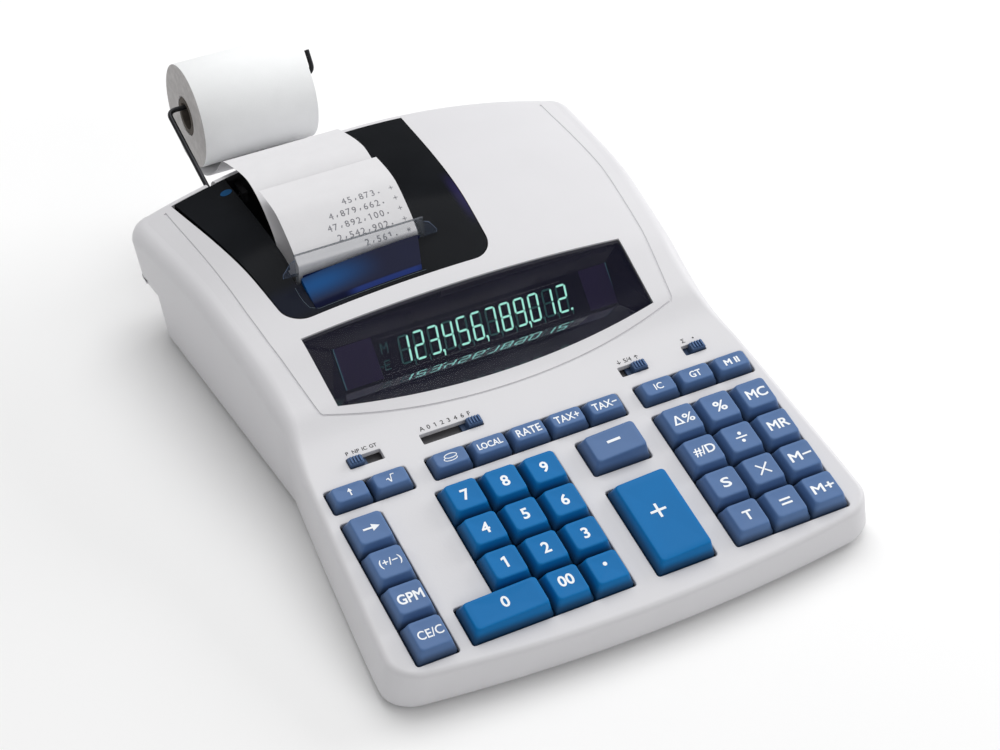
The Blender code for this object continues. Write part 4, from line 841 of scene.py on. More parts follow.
def grown(name, make_group, values, finish_name, points=(), place=None):
    """Mesh grown by a node group on a line of points, set by its named inputs."""
    if make_group not in groups:
        groups[make_group] = make_group()
    tree = groups[make_group]
    mesh = bpy.data.meshes.new(name)
    edges = [(k, k + 1) for k in range(len(points) - 1)]
    mesh.from_pydata([tuple(point) for point in points], edges, [])
    holder = link(name, mesh)
    modifier = holder.modifiers.new("grow", 'NODES')
    modifier.node_group = tree
    for item in tree.interface.items_tree:
        if item.in_out == 'INPUT' and item.name in values:
            modifier[item.identifier] = values[item.name]
        if item.in_out == 'INPUT' and item.name == "Material":
            modifier[item.identifier] = finish(finish_name)
    graph = bpy.context.evaluated_depsgraph_get()
    made = bpy.data.meshes.new_from_object(holder.evaluated_get(graph))
    bpy.data.objects.remove(holder, do_unlink=True)
    if place is not None:
        made.transform(place)
    return made


def frame_at(origin, tilt):
    """Place of a tilted plane: across stays across, the second axis climbs by the tilt."""
    return Matrix.Translation(origin) @ Matrix.Rotation(tilt, 4, 'X')


# Keys
def key_table():
    """Every key: node, centre across, centre up the slope, width, depth, height and its legend's
    sign, shift across, shift up, width, height and weight."""
    table = []

    def add(name, x, along, wide, deep, *legend, low=False):
        width = wide * KEY_PITCH - KEY_GAP
        depth = SMALL_DEPTH if low else deep * KEY_PITCH - KEY_GAP
        table.append((name, x, along, width, depth, 4.4 if low else 5.9, legend))

    for row, names in enumerate(("123", "456", "789"), start=1):
        for column, label in enumerate(names):
            add(f"key_{label}", NUMBER_KEYS + column * KEY_PITCH, BOTTOM_ROW + row * KEY_PITCH, 1, 1,
                label, 0, 0.2, 0, 5.4, 0.34)
    add("key_0", NUMBER_KEYS - KEY_PITCH / 2, BOTTOM_ROW, 2, 1, "0", 0, 1.0, 0, 5.2, 0.34)
    add("key_00", NUMBER_KEYS + KEY_PITCH, BOTTOM_ROW, 1, 1, "00", 0, 1.0, 0, 5.2, 0.34)
    add("key_point", NUMBER_KEYS + 2 * KEY_PITCH, BOTTOM_ROW, 1, 1, "dot", 0, 1.8, 1.9, 1.9, 0)
    add("key_plus", BIG_KEYS, BOTTOM_ROW + 0.75 * KEY_PITCH, 1.5, 2.5, "plus", -0.8, 2.6, 7.2, 7.2, 1.15)
    add("key_minus", BIG_KEYS, BOTTOM_ROW + 3 * KEY_PITCH, 1.5, 1, "minus", -0.4, 0.9, 6.2, 1.3, 0)
    left = (("key_clear", "CE/C", 11.0, 4.2, 0.12), ("key_margin", "GPM", 11.2, 4.9, 0.3),
            ("key_sign", "(+/−)", 9.8, 4.6, 0.14), ("key_shift", "arrow", 7.4, 3.6, 0))
    right = (
        (("key_total", "T", 4.2, 4.8, 0.3), ("key_equals", "equals", 5.2, 3.2, 0.95),
         ("key_memory_plus", "M+", 10.6, 4.6, 0.3)),
        (("key_subtotal", "S", 4.2, 5.0, 0.3), ("key_multiply", "times", 5.4, 5.4, 0.75),
         ("key_memory_minus", "M−", 10.6, 4.8, 0.3)),
        (("key_number_date", "#/D", 10.2, 4.9, 0.22), ("key_divide", "divide", 5.4, 5.8, 0.7),
         ("key_memory_recall", "MR", 9.8, 4.8, 0.3)),
        (("key_delta_percent", "Δ%", 10.2, 5.0, 0.2), ("key_percent", "%", 5.8, 5.4, 0.3),
         ("key_memory_clear", "MC", 9.8, 5.0, 0.3)))
    for start, rows in ((LEFT_KEYS, [(key,) for key in left]), (RIGHT_KEYS, right)):
        for row, names in enumerate(rows):
            for column, (name, label, *size) in enumerate(names):
                add(name, start + column * KEY_PITCH, BOTTOM_ROW + row * KEY_PITCH, 1, 1,
                    label, 0.3, 0, *size)
    small = (
        (("key_up", "up", 2.2, 3.8, 0), ("key_root", "root", 4.2, 3.8, 0.35)),
        (("key_paper_feed", "feed", 6.4, 4.0, 0.4), ("key_local", "LOCAL", 11.4, 3.2, 0.16),
         ("key_rate", "RATE", 11.4, 3.9, 0.15), ("key_tax_plus", "TAX+", 11.6, 3.8, 0.15),
         ("key_tax_minus", "TAX−", 11.6, 3.8, 0.15)),
        (("key_item_count", "IC", 4.0, 3.4, 0.1), ("key_grand_total", "GT", 5.6, 3.5, 0.15),
         ("key_memory_two", "M II", 7.2, 3.2, 0.35)))
    for start, names in zip(SMALL_KEYS, small):
        for column, (name, label, *size) in enumerate(names):
            add(name, start + column * KEY_PITCH, SMALL_ROW, 1, 1, label, 0, 0, *size, low=True)
    return table


bright_keys = {f"key_{label}" for label in
               ("0", "00", "1", "2", "3", "4", "5", "6", "7", "8", "9", "point", "plus")}
DISH = 0.45


def key_shape(width, low):
    """How far a keycap's top is set in, and how far the big keys' tops lean up to the right."""
    return 1.7 if low else 2.0, 1.6 if width > KEY_PITCH else 0.0


def key_top(x, y, width, depth, height, low):
    """Height of a keycap's dished top above the deck at a point on it."""
    inset, lean = key_shape(width, low)
    half_x, half_y = width / 2 - inset, depth / 2 - inset
    share = min(max(abs(x) / half_x, abs(y) / half_y), 1.0)
    return height - DISH * (1 - share ** 2) + lean * (0.5 + x / (2 * half_x))


def keycap(name, x, along, width, depth, height, low):
    """A keycap with a straight skirt, hollow-ground sides, a soft top edge and a dished top."""
    inset, lean = key_shape(width, low)
    # Every level: its height, how far it is set in and its corner's radius
    levels = [(-3.6, 0.0, 1.3), (-0.2, 0.0, 1.3), (0.1, 0.05, 1.4)]
    for share in (0.2, 0.4, 0.6, 0.8):
        levels.append((0.1 + (height - 0.8) * share, 0.05 + (inset - 0.35) * share ** 0.85, 1.6))
    levels += [(height - 0.55, inset - 0.28, 1.8), (height - 0.28, inset - 0.12, 1.9),
               (height - 0.10, inset + 0.10, 1.9), (height - 0.02, inset + 0.36, 1.9)]
    rings = []
    for z, shrink, radius in levels:
        half_x, half_y = width / 2 - shrink, depth / 2 - shrink
        rings.append([(px, py, z + lean * max(z, 0) / height * (0.5 + px / (2 * half_x)))
                      for px, py in rounded_outline(half_x, half_y, radius)])
    half_x, half_y = width / 2 - inset - 0.36, depth / 2 - inset - 0.36
    edge = rounded_outline(half_x, half_y, 1.9)
    for share in (0.85, 0.65, 0.45, 0.25, 0.1):
        sunk = height - 0.02 - DISH * (1 - share ** 2)
        rings.append([(px * share, py * share, sunk + lean * (0.5 + px * share / (2 * half_x)))
                      for px, py in edge])
    places = [[deck(x + px, along + py, pz) for px, py, pz in ring] for ring in rings]
    stem = [[deck(x + px, along + py, z) for px, py in rounded_outline(1.8, 1.8, 0.4)]
            for z in (-11.8, -3.6)]
    return loft(name, stem + places)


# Lettering
def flat_shape(label, wide, high, stroke):
    """Signs drawn from bars: list of convex outlines, in millimetres about the sign's middle."""
    def bar(x0, y0, x1, y1):
        return [(x0, y0), (x1, y0), (x1, y1), (x0, y1)]

    def slant(x0, y0, x1, y1, width):
        along = Vector((x1 - x0, y1 - y0)).normalized()
        side = Vector((-along.y, along.x)) * width / 2
        return [(x0 - side.x, y0 - side.y), (x1 - side.x, y1 - side.y), (x1 + side.x, y1 + side.y),
                (x0 + side.x, y0 + side.y)]

    def disc(x, y, radius, steps=16):
        return [(x + radius * math.cos(math.tau * k / steps), y + radius * math.sin(math.tau * k / steps))
                for k in range(steps)]

    w, h, t = wide / 2, high / 2, stroke / 2
    if label == "dot":
        return [disc(0, 0, w)]
    if label == "1":
        thick = 0.13 * high + stroke
        right, left, drop = 0.13 * high, 0.13 * high - thick, h - 1.1 * thick
        return [[(right, h), (right, -h), (left, -h), (left, drop), (left - 0.2 * high, drop - 0.08 * high),
                 (left - 0.2 * high, drop - 0.08 * high + 0.9 * thick), (left + 0.2 * thick, h)]]
    if label == "comma":
        return [slant(-w, -h, w, h, stroke)]
    if label == "minus":
        return [bar(-w, -h, w, h)]
    if label == "plus":
        return [bar(-w, -t, w, t), bar(-t, t, t, h), bar(-t, -h, t, -t)]
    if label == "equals":
        return [bar(-w, h - stroke, w, h), bar(-w, -h, w, -h + stroke)]
    if label == "times":
        return [slant(-w, -h, w, h, stroke), slant(-w, h, -t * 0.9, t * 0.9, stroke),
                slant(t * 0.9, -t * 0.9, w, -h, stroke)]
    if label == "divide":
        return [bar(-w, -t, w, t), disc(0, h - 0.85, 0.85), disc(0, -h + 0.85, 0.85)]
    if label == "arrow":
        return [bar(-w, -0.45, w - 3.4, 0.45), [(w - 3.4, -h), (w, 0), (w - 3.4, h)]]
    if label == "up":
        return [bar(-0.3, -h, 0.3, h - 1.4), [(w, h - 1.6), (0, h), (-w, h - 1.6)]]
    if label == "root":
        return [slant(-w, -0.3, -w + 0.9, 0.2, 0.4), slant(-w + 0.9, 0.2, -0.3, -h, 0.6),
                slant(-0.3, -h, 0.6, h, 0.4), bar(0.6, h - 0.4, w, h)]
    if label == "feed":
        pieces = []
        for x, y, reach, first, last in ((0.3, 0.85, w - 0.2, 0, 24), (-0.2, -0.55, w, 9, 25)):
            for k in range(first, last):
                a, b = math.tau * k / 24, math.tau * (k + 1) / 24
                pieces.append([(x + (reach - thin) * math.cos(t), y + (1.3 - thin) * math.sin(t))
                               for t, thin in ((a, 0), (b, 0), (b, stroke), (a, stroke))])
        return pieces
    return None


def embolden(shape, grow):
    """Thicken flat filled letters by moving their edge points outwards."""
    outward = {}
    for edge in shape.edges:
        if len(edge.link_faces) != 1:
            continue
        first, second = edge.verts
        along = (second.co - first.co).normalized()
        out = Vector((along.y, -along.x, 0.0))
        if (edge.link_faces[0].calc_center_median() - first.co).dot(out) > 0:
            out = -out
        for vert in (first, second):
            outward.setdefault(vert, []).append(out)
    for vert, outs in outward.items():
        total = sum(outs, Vector((0.0, 0.0, 0.0)))
        vert.co += total * grow / max(total.length_squared / 2, 0.7)


def sign_mesh(label, wide, high, weight, thick=0.05):
    """A sign or word as a thin solid, centred, in millimetres; a width of 0 keeps its proportions."""
    shapes = flat_shape(label, wide, high, weight)
    if shapes is not None:
        shape = bmesh.new()
        for outline in map(counter_clockwise, shapes):
            add_slab(shape, [(x, y, 0) for x, y in outline], [(x, y, thick) for x, y in outline])
        return mesh_of("sign", shape)
    curve = bpy.data.curves.new("word", 'FONT')
    curve.body = label
    curve.size = 10.0
    curve.resolution_u = 4
    word = bpy.data.objects.new("word", curve)
    bpy.context.scene.collection.objects.link(word)
    bpy.context.view_layer.update()
    graph = bpy.context.evaluated_depsgraph_get()
    flat = bpy.data.meshes.new_from_object(word.evaluated_get(graph))
    bpy.data.objects.remove(word, do_unlink=True)
    shape = bmesh.new()
    shape.from_mesh(flat)
    bmesh.ops.remove_doubles(shape, verts=shape.verts, dist=0.004)
    xs = [vert.co.x for vert in shape.verts]
    ys = [vert.co.y for vert in shape.verts]
    scale_y = (high - weight) / (max(ys) - min(ys))
    scale_x = (wide - weight) / (max(xs) - min(xs)) if wide else scale_y
    middle_x, middle_y = (min(xs) + max(xs)) / 2, (min(ys) + max(ys)) / 2
    for vert in shape.verts:
        vert.co = Vector(((vert.co.x - middle_x) * scale_x, (vert.co.y - middle_y) * scale_y, 0.0))
    embolden(shape, weight / 2)
    pulled = bmesh.ops.extrude_face_region(shape, geom=list(shape.faces), use_keep_orig=True)
    top = [item for item in pulled["geom"] if isinstance(item, bmesh.types.BMVert)]
    bmesh.ops.translate(shape, vec=(0, 0, thick), verts=top)
    bmesh.ops.recalc_face_normals(shape, faces=shape.faces)
    return mesh_of("sign", shape)


def lay(mesh, place):
    """Move every point of a sign to its place: place takes across, along and lift."""
    for vert in mesh.vertices:
        vert.co = place(vert.co.x, vert.co.y, vert.co.z)
    mesh.update()
    return mesh


# Operators
class CalculatorLook(bpy.types.PropertyGroup):
    """Sizes and colours a user may change."""
    case_colour: FloatVectorProperty(name="Case", description="Colour of the case", size=3,
                                     subtype='COLOR', default=(0.66, 0.655, 0.675), min=0, max=1)
    number_key_colour: FloatVectorProperty(name="Number keys", description="Colour of the number keys",
                                           size=3, subtype='COLOR', default=(0.005, 0.155, 0.420),
                                           min=0, max=1)
    function_key_colour: FloatVectorProperty(name="Function keys",
                                             description="Colour of the function keys", size=3,
                                             subtype='COLOR', default=(0.085, 0.165, 0.345),
                                             min=0, max=1)
    groove_radius: FloatProperty(name="Panel groove", description="Radius of the panel's groove",
                                 default=0.6 * MM, min=0, max=1 * MM, subtype='DISTANCE', unit='LENGTH')
    light_power: FloatProperty(name="Light", description="Power of the large soft light",
                               default=15.5, min=0, subtype='POWER', unit='POWER')
    paper_layers: IntProperty(name="Paper layers", description="Visible windings on the roll's ends",
                              default=18, min=4, max=60)


def groove_route():
    """The groove round the display and printer panel, over the crowned surface."""
    side = ((88.6, 155.0), (91.5, 175.8), (93.4, 197.0), (95.0, 219.3), (96.5, 258.0), (97.3, 284.0))
    right = [(84.6, 136.0), (85.5, 136.9), (86.0, 138.2)]
    right += [(85.7 + 2.9 * k / 8, 135.7 + 19.3 * k / 8) for k in range(2, 8)]
    for (x0, d0), (x1, d1) in zip(side, side[1:]):
        right += [(x0 + (x1 - x0) * k / 8, d0 + (d1 - d0) * k / 8) for k in range(8)]
    right.append(side[-1])
    arc = [(83.0 * share, 135.6 - 12.3 * (1 - share ** 2))
           for share in (step / 24 - 1 for step in range(49))]
    return [on_top(x, depth) for x, depth in [(-x, d) for x, d in reversed(right)] + arc + right]


def key_wells():
    """Outlines of the wells on the deck: plain blocks of keys, and the number block with its step."""
    half, slack = KEY_PITCH / 2, RIM_GAP
    low, high = BOTTOM_ROW - half, BOTTOM_ROW + 3 * KEY_PITCH + half
    wide = 0.75 * KEY_PITCH
    blocks = [(LEFT_KEYS - half, LEFT_KEYS + half, low, high),
              (RIGHT_KEYS - half, RIGHT_KEYS + 2 * KEY_PITCH + half, low, high),
              (BIG_KEYS - wide, BIG_KEYS + wide, low, low + 2.5 * KEY_PITCH),
              (BIG_KEYS - wide, BIG_KEYS + wide, high - KEY_PITCH, high)]
    for start, count in zip(SMALL_KEYS, (2, 5, 3)):
        blocks.append((start - half, start + (count - 1) * KEY_PITCH + half,
                       SMALL_ROW - 5.85, SMALL_ROW + 5.85))
    wells = [rounded_box(x0 - slack, x1 + slack, y0 - slack, y1 + slack, WELL_CORNER)
             for x0, x1, y0, y1 in blocks]
    left, right = NUMBER_KEYS - half - slack, NUMBER_KEYS + 2 * KEY_PITCH + half + slack
    wing, step = left - KEY_PITCH, low + KEY_PITCH + slack
    corners = [Vector(corner) for corner in (
        (wing, low - slack), (right, low - slack), (right, high + slack), (left, high + slack),
        (left, step), (wing, step))]
    stepped = []
    for index, here in enumerate(corners):
        after = corners[(index + 1) % len(corners)]
        stepped += [tuple(spot) for spot in bend(corners[index - 1], here, after, WELL_CORNER, 4)]
    return wells + [stepped]


class CALCULATOR_OT_case(bpy.types.Operator):
    """Upper case with its wells, display window, printer bay and panel groove"""
    bl_idname = "calculator.case"
    bl_label = "Upper case"

    def execute(self, context):
        shell = case_skin("shell", CASE_WALL, "case")
        tools = [well_cutter(outline) for outline in key_wells()]
        for _, x, length, *_ in switches:
            tools.append(well_cutter(rounded_box(x - length / 2, x + length / 2, SWITCH_ROW - 2.7,
                                                 SWITCH_ROW + 2.7, 0.5), 0.25))
        tools.append(prism("window", lens_outline(0.0), 25, CUT_TOP))
        tools.append(prism("bay", cover_outline(0.0), 34, CUT_TOP, (0, 1)))
        # Room for the wire arm in the rear wall, and the hollow under the rear overhang
        x = PAPER_X - ARM_LEG
        tools.append(link("notch", box_mesh("notch", (x - 1.8, 281.7, 60.6), (x + 1.8, 300, CUT_TOP))))
        tools.append(link("undercut", box_mesh("undercut", (-130, UNDERCUT, -5), (130, 305, OVERHANG))))
        tools.append(link("groove", tube_mesh("groove", groove_route(), look().groove_radius, 8)))
        boolean(shell, tools)
        piece = bake(shell, "case_shell", finish("case"), 30.0)
        # Inward faces of the wall behind the keyboard take the near black finish: painted shade on the case's
        # own plastic
        piece.data.materials.append(finish("inner"))
        for face in piece.data.polygons:
            x, depth, height = face.center.x / MM, face.center.y / MM - FRONT_Y, face.center.z / MM
            inward = face.normal.z < -0.5 or face.normal.x * x < -0.4 * abs(x)
            inward = inward or (face.normal.y < -0.5 and depth > 250)
            if depth > 120 and inward and height < top_height(x, depth) - 2.2:
                face.material_index = 1
        mount(piece, "case", "top_case")
        # The shelf closes the overhang from below; it is light outside, and its faces towards the bay are
        # dark with painted shade
        outline = [(-111.4, 278.8), (111.4, 278.8)]
        for side in (1, -1):
            for step in range(9):
                angle = math.pi / 2 * (step / 8 if side > 0 else 1 - step / 8)
                outline.append((side * (102.6 + 8.8 * math.cos(angle)), 283.0 + 8.8 * math.sin(angle)))
        shelf = bake(prism("shelf", outline, OVERHANG + 0.1, OVERHANG + 1.3), "rear_shelf", finish("case"))
        shelf.data.materials.append(finish("inner"))
        for face in shelf.data.polygons:
            if face.normal.z > 0.5:
                face.material_index = 1
        mount(shelf, "case")
        # The arm's holders take the near black finish: painted shade inside the bay
        lugs = [box_mesh("lug", (x - 1.5, 281.3, 56.8), (x + 1.5, 292.7, 62.2), 0.3)
                for x in (PAPER_X - 22.0, PAPER_X + 22.0)]
        mount(join("arm_holders", lugs, finish("inner")), "case")
        return {'FINISHED'}


class CALCULATOR_OT_base(bpy.types.Operator):
    """Finish of the lower case and the key plate, with rubber pads and screws"""
    bl_idname = "calculator.base"
    bl_label = "Lower case"

    def execute(self, context):
        # The key plate takes the same near black finish as the painted shade in the case
        repaint((("base_case", "base"), ("key_plate", "inner")))
        pads = []
        for depth in (17.0, 264.3):
            for side in (-1, 1):
                x = side * (lower_width(depth) - PAD_INSET)
                pads.append(loft("pad", [[at(x + radius * math.cos(math.tau * k / 40),
                                             depth + radius * math.sin(math.tau * k / 40), z)
                                          for k in range(40)]
                                         for z, radius in ((0.0, 5.6), (0.4, 6.15), (1.9, 6.15))]))
        mount(join("rubber_pads", pads, finish("rubber")), "case")
        places = [at(side * x, depth, 1.75) for side in (-1, 1)
                  for x, depth in ((60.0, 34.0), (74.0, 150.0), (64.0, 262.0))]
        heads = grown("base_screws", screw_group, {"Radius": 3.2 * MM, "Rise": 0.9 * MM, "Sides": 28,
                                                   "Seed": 5}, "screw", places)
        mount(link("base_screws", heads, finish("screw")), "case")
        return {'FINISHED'}


class CALCULATOR_OT_keys(bpy.types.Operator):
    """All keycaps with their legends"""
    bl_idname = "calculator.keys"
    bl_label = "Keys"

    def execute(self, context):
        for name, x, along, width, depth, height, legend in key_table():
            low = height < 5
            tint, slot = (("number_key", "key_blue") if name in bright_keys
                          else ("function_key", "key_steel_blue"))
            cap = link(name + "_cap", keycap(name + "_cap", x, along, width, depth, height, low),
                       finish(tint))
            mount(cap, name, name)
            label, dx, dy, wide, high, weight = legend

            def place(px, py, pz):
                kx, ky = px + dx, py + dy
                lift = key_top(kx, ky, width, depth, height, low) + 0.01 + pz
                return deck(x + kx, along + ky, lift)

            word = lay(sign_mesh(label, wide, high, weight), place)
            mount(join(name + "_legend", [word], finish("legend")), name)
        return {'FINISHED'}


class CALCULATOR_OT_switches(bpy.types.Operator):
    """Slide switches: ridged knobs, slot liners and printed legends"""
    bl_idname = "calculator.switches"
    bl_label = "Slide switches"

    def execute(self, context):
        for name, centre, length, side, labels in switches:
            x = centre + side * (length / 2 - 3.6)
            levels = ((-4.1, 5.5, 4.4, 0.5), (-2.7, 5.5, 4.4, 0.5), (-2.7, 3.3, 2.2, 0.4),
                      (1.2, 3.3, 2.2, 0.4), (1.6, 3.15, 2.05, 0.4), (1.7, 2.9, 1.9, 0.4))
            body = loft(name, [[deck(x + px, SWITCH_ROW + py, z)
                                for px, py in rounded_outline(half_x, half_y, radius, 3)]
                               for z, half_x, half_y, radius in levels])
            ribs = grown(name, bar_row_group, {
                "Count": 4, "Step": (1.35 * MM, 0, 0), "Size": (0.5 * MM, 3.3 * MM, 1.3 * MM)},
                "function_key", place=frame_at(deck(x - 2.02, SWITCH_ROW, 1.95), DECK_TILT))
            knob = join(name + "_cap", [body, ribs], finish("function_key"))
            mount(knob, name, name)
            # The decimals' legend is a little shorter than its slot and starts further right
            start, span = (centre - 13.2, 25.4) if len(labels) == 8 else (centre - length / 2, length)
            words = []
            for index, label in enumerate(labels):
                spot = start + span * (index + 0.5) / len(labels)
                high = 0.9 if label == "•" else 1.9 if label in ("P", "NP", "IC", "GT") else 2.25

                def place(px, py, pz):
                    return deck(spot + px, SWITCH_LEGEND + py, 0.01 + pz)

                words.append(lay(sign_mesh(label, 0, high, 0.1, 0.03), place))
            mount(join(name + "_legend", words, finish("black_print")), "case")
            liner = loft(name + "_liner", [[deck(centre + px, SWITCH_ROW + py, z) for px, py
                                            in rounded_outline(length / 2 + 3.2, 5.2, 0.5, 3)]
                                           for z in (-4.6, -4.3)])
            mount(link(name + "_liner", liner, finish("slot")), "case")
        return {'FINISHED'}


def tube_place(x, v, lift):
    """Place on the display tube's face: across, up the face and out of it."""
    depth, below = TUBE
    height = top_height(0, depth) - below
    return at(x, depth + v * math.cos(TUBE_TILT) - lift * math.sin(TUBE_TILT),
              height + v * math.sin(TUBE_TILT) + lift * math.cos(TUBE_TILT))


segments_of = {"0": "abcdef", "1": "bc", "2": "abged", "3": "abgcd", "4": "fgbc", "5": "afgcd",
               "6": "afgedc", "7": "abc", "8": "abcdefg", "9": "abcdfg"}


def segment_outlines(width, height, stroke):
    """Outlines of the seven strokes of a digit about its middle."""
    w, h, t, g = width / 2, height / 2, stroke, 0.08
    cut = t * 0.6

    def flat(y):
        return [(-w + g, y), (-w + cut + g, y - t / 2), (w - cut - g, y - t / 2), (w - g, y),
                (w - cut - g, y + t / 2), (-w + cut + g, y + t / 2)]

    def tall(x, y0, y1):
        return [(x, y0 + g), (x + t / 2, y0 + cut + g), (x + t / 2, y1 - cut - g), (x, y1 - g),
                (x - t / 2, y1 - cut - g), (x - t / 2, y0 + cut + g)]

    return {"a": flat(h), "g": flat(0), "d": flat(-h), "b": tall(w, 0, h), "c": tall(w, -h, 0),
            "f": tall(-w, 0, h), "e": tall(-w, -h, 0)}


class CALCULATOR_OT_display(bpy.types.Operator):
    """Smoked window, dark tray with a mirroring floor, display tube and its digits"""
    bl_idname = "calculator.display"
    bl_label = "Display"

    def execute(self, context):
        blank = case_skin("lens", LENS_WALL, "lens")
        blank.location.z = -0.4 * MM
        boolean(blank, [prism("lens_blank", lens_outline(RIM_GAP), 25, CUT_TOP)], 'INTERSECT')
        lens = bake(blank, "window_lens", finish("lens"), 40.0)
        mount(lens, "case", "display_lens")
        repaint((("display_tube", "tube"),))
        lit, unlit, dashes = [], [], []
        shapes = segment_outlines(4.25, 11.7, 0.9)

        def outline_mesh(outline, x, v, lift, slant=DIGIT_SLANT):
            shape = bmesh.new()
            add_slab(shape, *[[tube_place(x + px + py * slant, v + py, z)
                               for px, py in counter_clockwise(outline)] for z in (0.02, lift)])
            return mesh_of("segment", shape)

        dot = [(-0.5, -0.5), (0.5, -0.5), (0.5, 0.5), (-0.5, 0.5)]
        comma = [(-0.1, -2.0), (0.4, -2.0), (0.6, -0.1), (-0.1, -0.1)]
        # Unlit segments and marks glow faintly: painted light
        for index, digit in enumerate("123456789012"):
            x = FIRST_DIGIT + index * DIGIT_PITCH
            for key, outline in shapes.items():
                target = lit if key in segments_of[digit] else unlit
                target.append(outline_mesh(outline, x, 0.7, 0.10 if target is lit else 0.06))
            spot = lit if index in (2, 5, 8, 11) else unlit
            spot.append(outline_mesh(dot, x + 2.9, -5.0, 0.09))
            tail = lit if index in (2, 5, 8) else unlit
            tail.append(outline_mesh(comma, x + 2.9, -5.3, 0.09))
        # The small M and the minus sign with its E, left of the digits
        for bar in (((-1.7, 1.6), (-1.25, 1.6), (-1.25, 6.2), (-1.7, 6.2)),
                    ((1.25, 1.6), (1.7, 1.6), (1.7, 6.2), (1.25, 6.2)),
                    ((-1.7, 6.2), (-0.25, 3.6), (0.25, 3.6), (-1.25, 6.2)),
                    ((-0.25, 3.6), (0.25, 3.6), (1.7, 6.2), (1.25, 6.2)),
                    ((-1.4, -5.6), (-0.95, -5.6), (-0.95, -1.4), (-1.4, -1.4)),
                    ((-0.95, -5.6), (1.4, -5.6), (1.4, -5.15), (-0.95, -5.15)),
                    ((-0.95, -3.7), (1.0, -3.7), (1.0, -3.25), (-0.95, -3.25)),
                    ((-0.95, -1.85), (1.4, -1.85), (1.4, -1.4), (-0.95, -1.4)),
                    ((-3.6, -3.7), (-2.0, -3.7), (-2.0, -3.25), (-3.6, -3.25))):
            unlit.append(outline_mesh(bar, -45.0, 0.0, 0.06))
        # The dashed lines glow: painted light
        for v in (8.4, -7.5):
            dashes.append(grown("dashes", bar_row_group, {
                "Count": 38, "Step": (2.4 * MM, 0, 0), "Size": (1.5 * MM, 0.18 * MM, 0.06 * MM),
                "Seed": 11, "Unevenness": 0.12}, "dash",
                place=frame_at(tube_place(-46.4, v, 0.05), TUBE_TILT)))
        # The purple ends of the tube's face, and thin strips at its glass ends that glow as painted highlight
        ends, edges = [], []
        for side, inner, outer in ((-1, 49.0, 66.8), (1, 53.3, 67.4)):
            for group, start, lift in ((ends, inner, 0.05), (edges, outer - 0.35, 0.10)):
                group.append(outline_mesh([(side * start, -8.5), (side * outer, -8.5), (side * outer, 10.2),
                                           (side * start, 10.2)], 0, 0, lift, 0.0))
        for name, group, finish_name in (("lit_digits", lit, "lit"), ("unlit_digits", unlit, "unlit"),
                                         ("dashed_lines", dashes, "dash"),
                                         ("display_ends", ends, "end"), ("display_edges", edges, "edge")):
            mount(join(name, group, finish(finish_name)), "case")

        # The tray: a mirroring floor before the tube, a dark strip behind it, and the slanted ends
        def panel(name, corners, thick, finish_name):
            a, b, c, _ = corners
            normal = (b - a).cross(c - a).normalized() * thick * MM
            shape = bmesh.new()
            add_slab(shape, corners, [corner + normal for corner in corners])
            mount(link(name, mesh_from(name, shape), finish(finish_name)), "case")

        reach = 67.8
        panel("tray_front", [on_top(-75, 131.4, -3.2), on_top(75, 131.4, -3.2),
                             tube_place(reach, -10.6, 0.2), tube_place(-reach, -10.6, 0.2)], 0.6, "mirror")
        panel("tray_rear", [tube_place(-reach, 10.2, -0.4), tube_place(reach, 10.2, -0.4),
                            on_top(78.5, 174.0, -3.4), on_top(-78.5, 174.0, -3.4)], 0.6, "tray")
        for side, name in ((-1, "tray_left"), (1, "tray_right")):
            corners = [tube_place(side * 67.0, -10.6, 0.2), tube_place(side * 67.0, 10.2, -0.2),
                       on_top(side * 78.8, 172.0, -3.6), on_top(side * 78.8, 136.5, -3.6)]
            panel(name, corners[::side], 0.5, "tray")
        return {'FINISHED'}


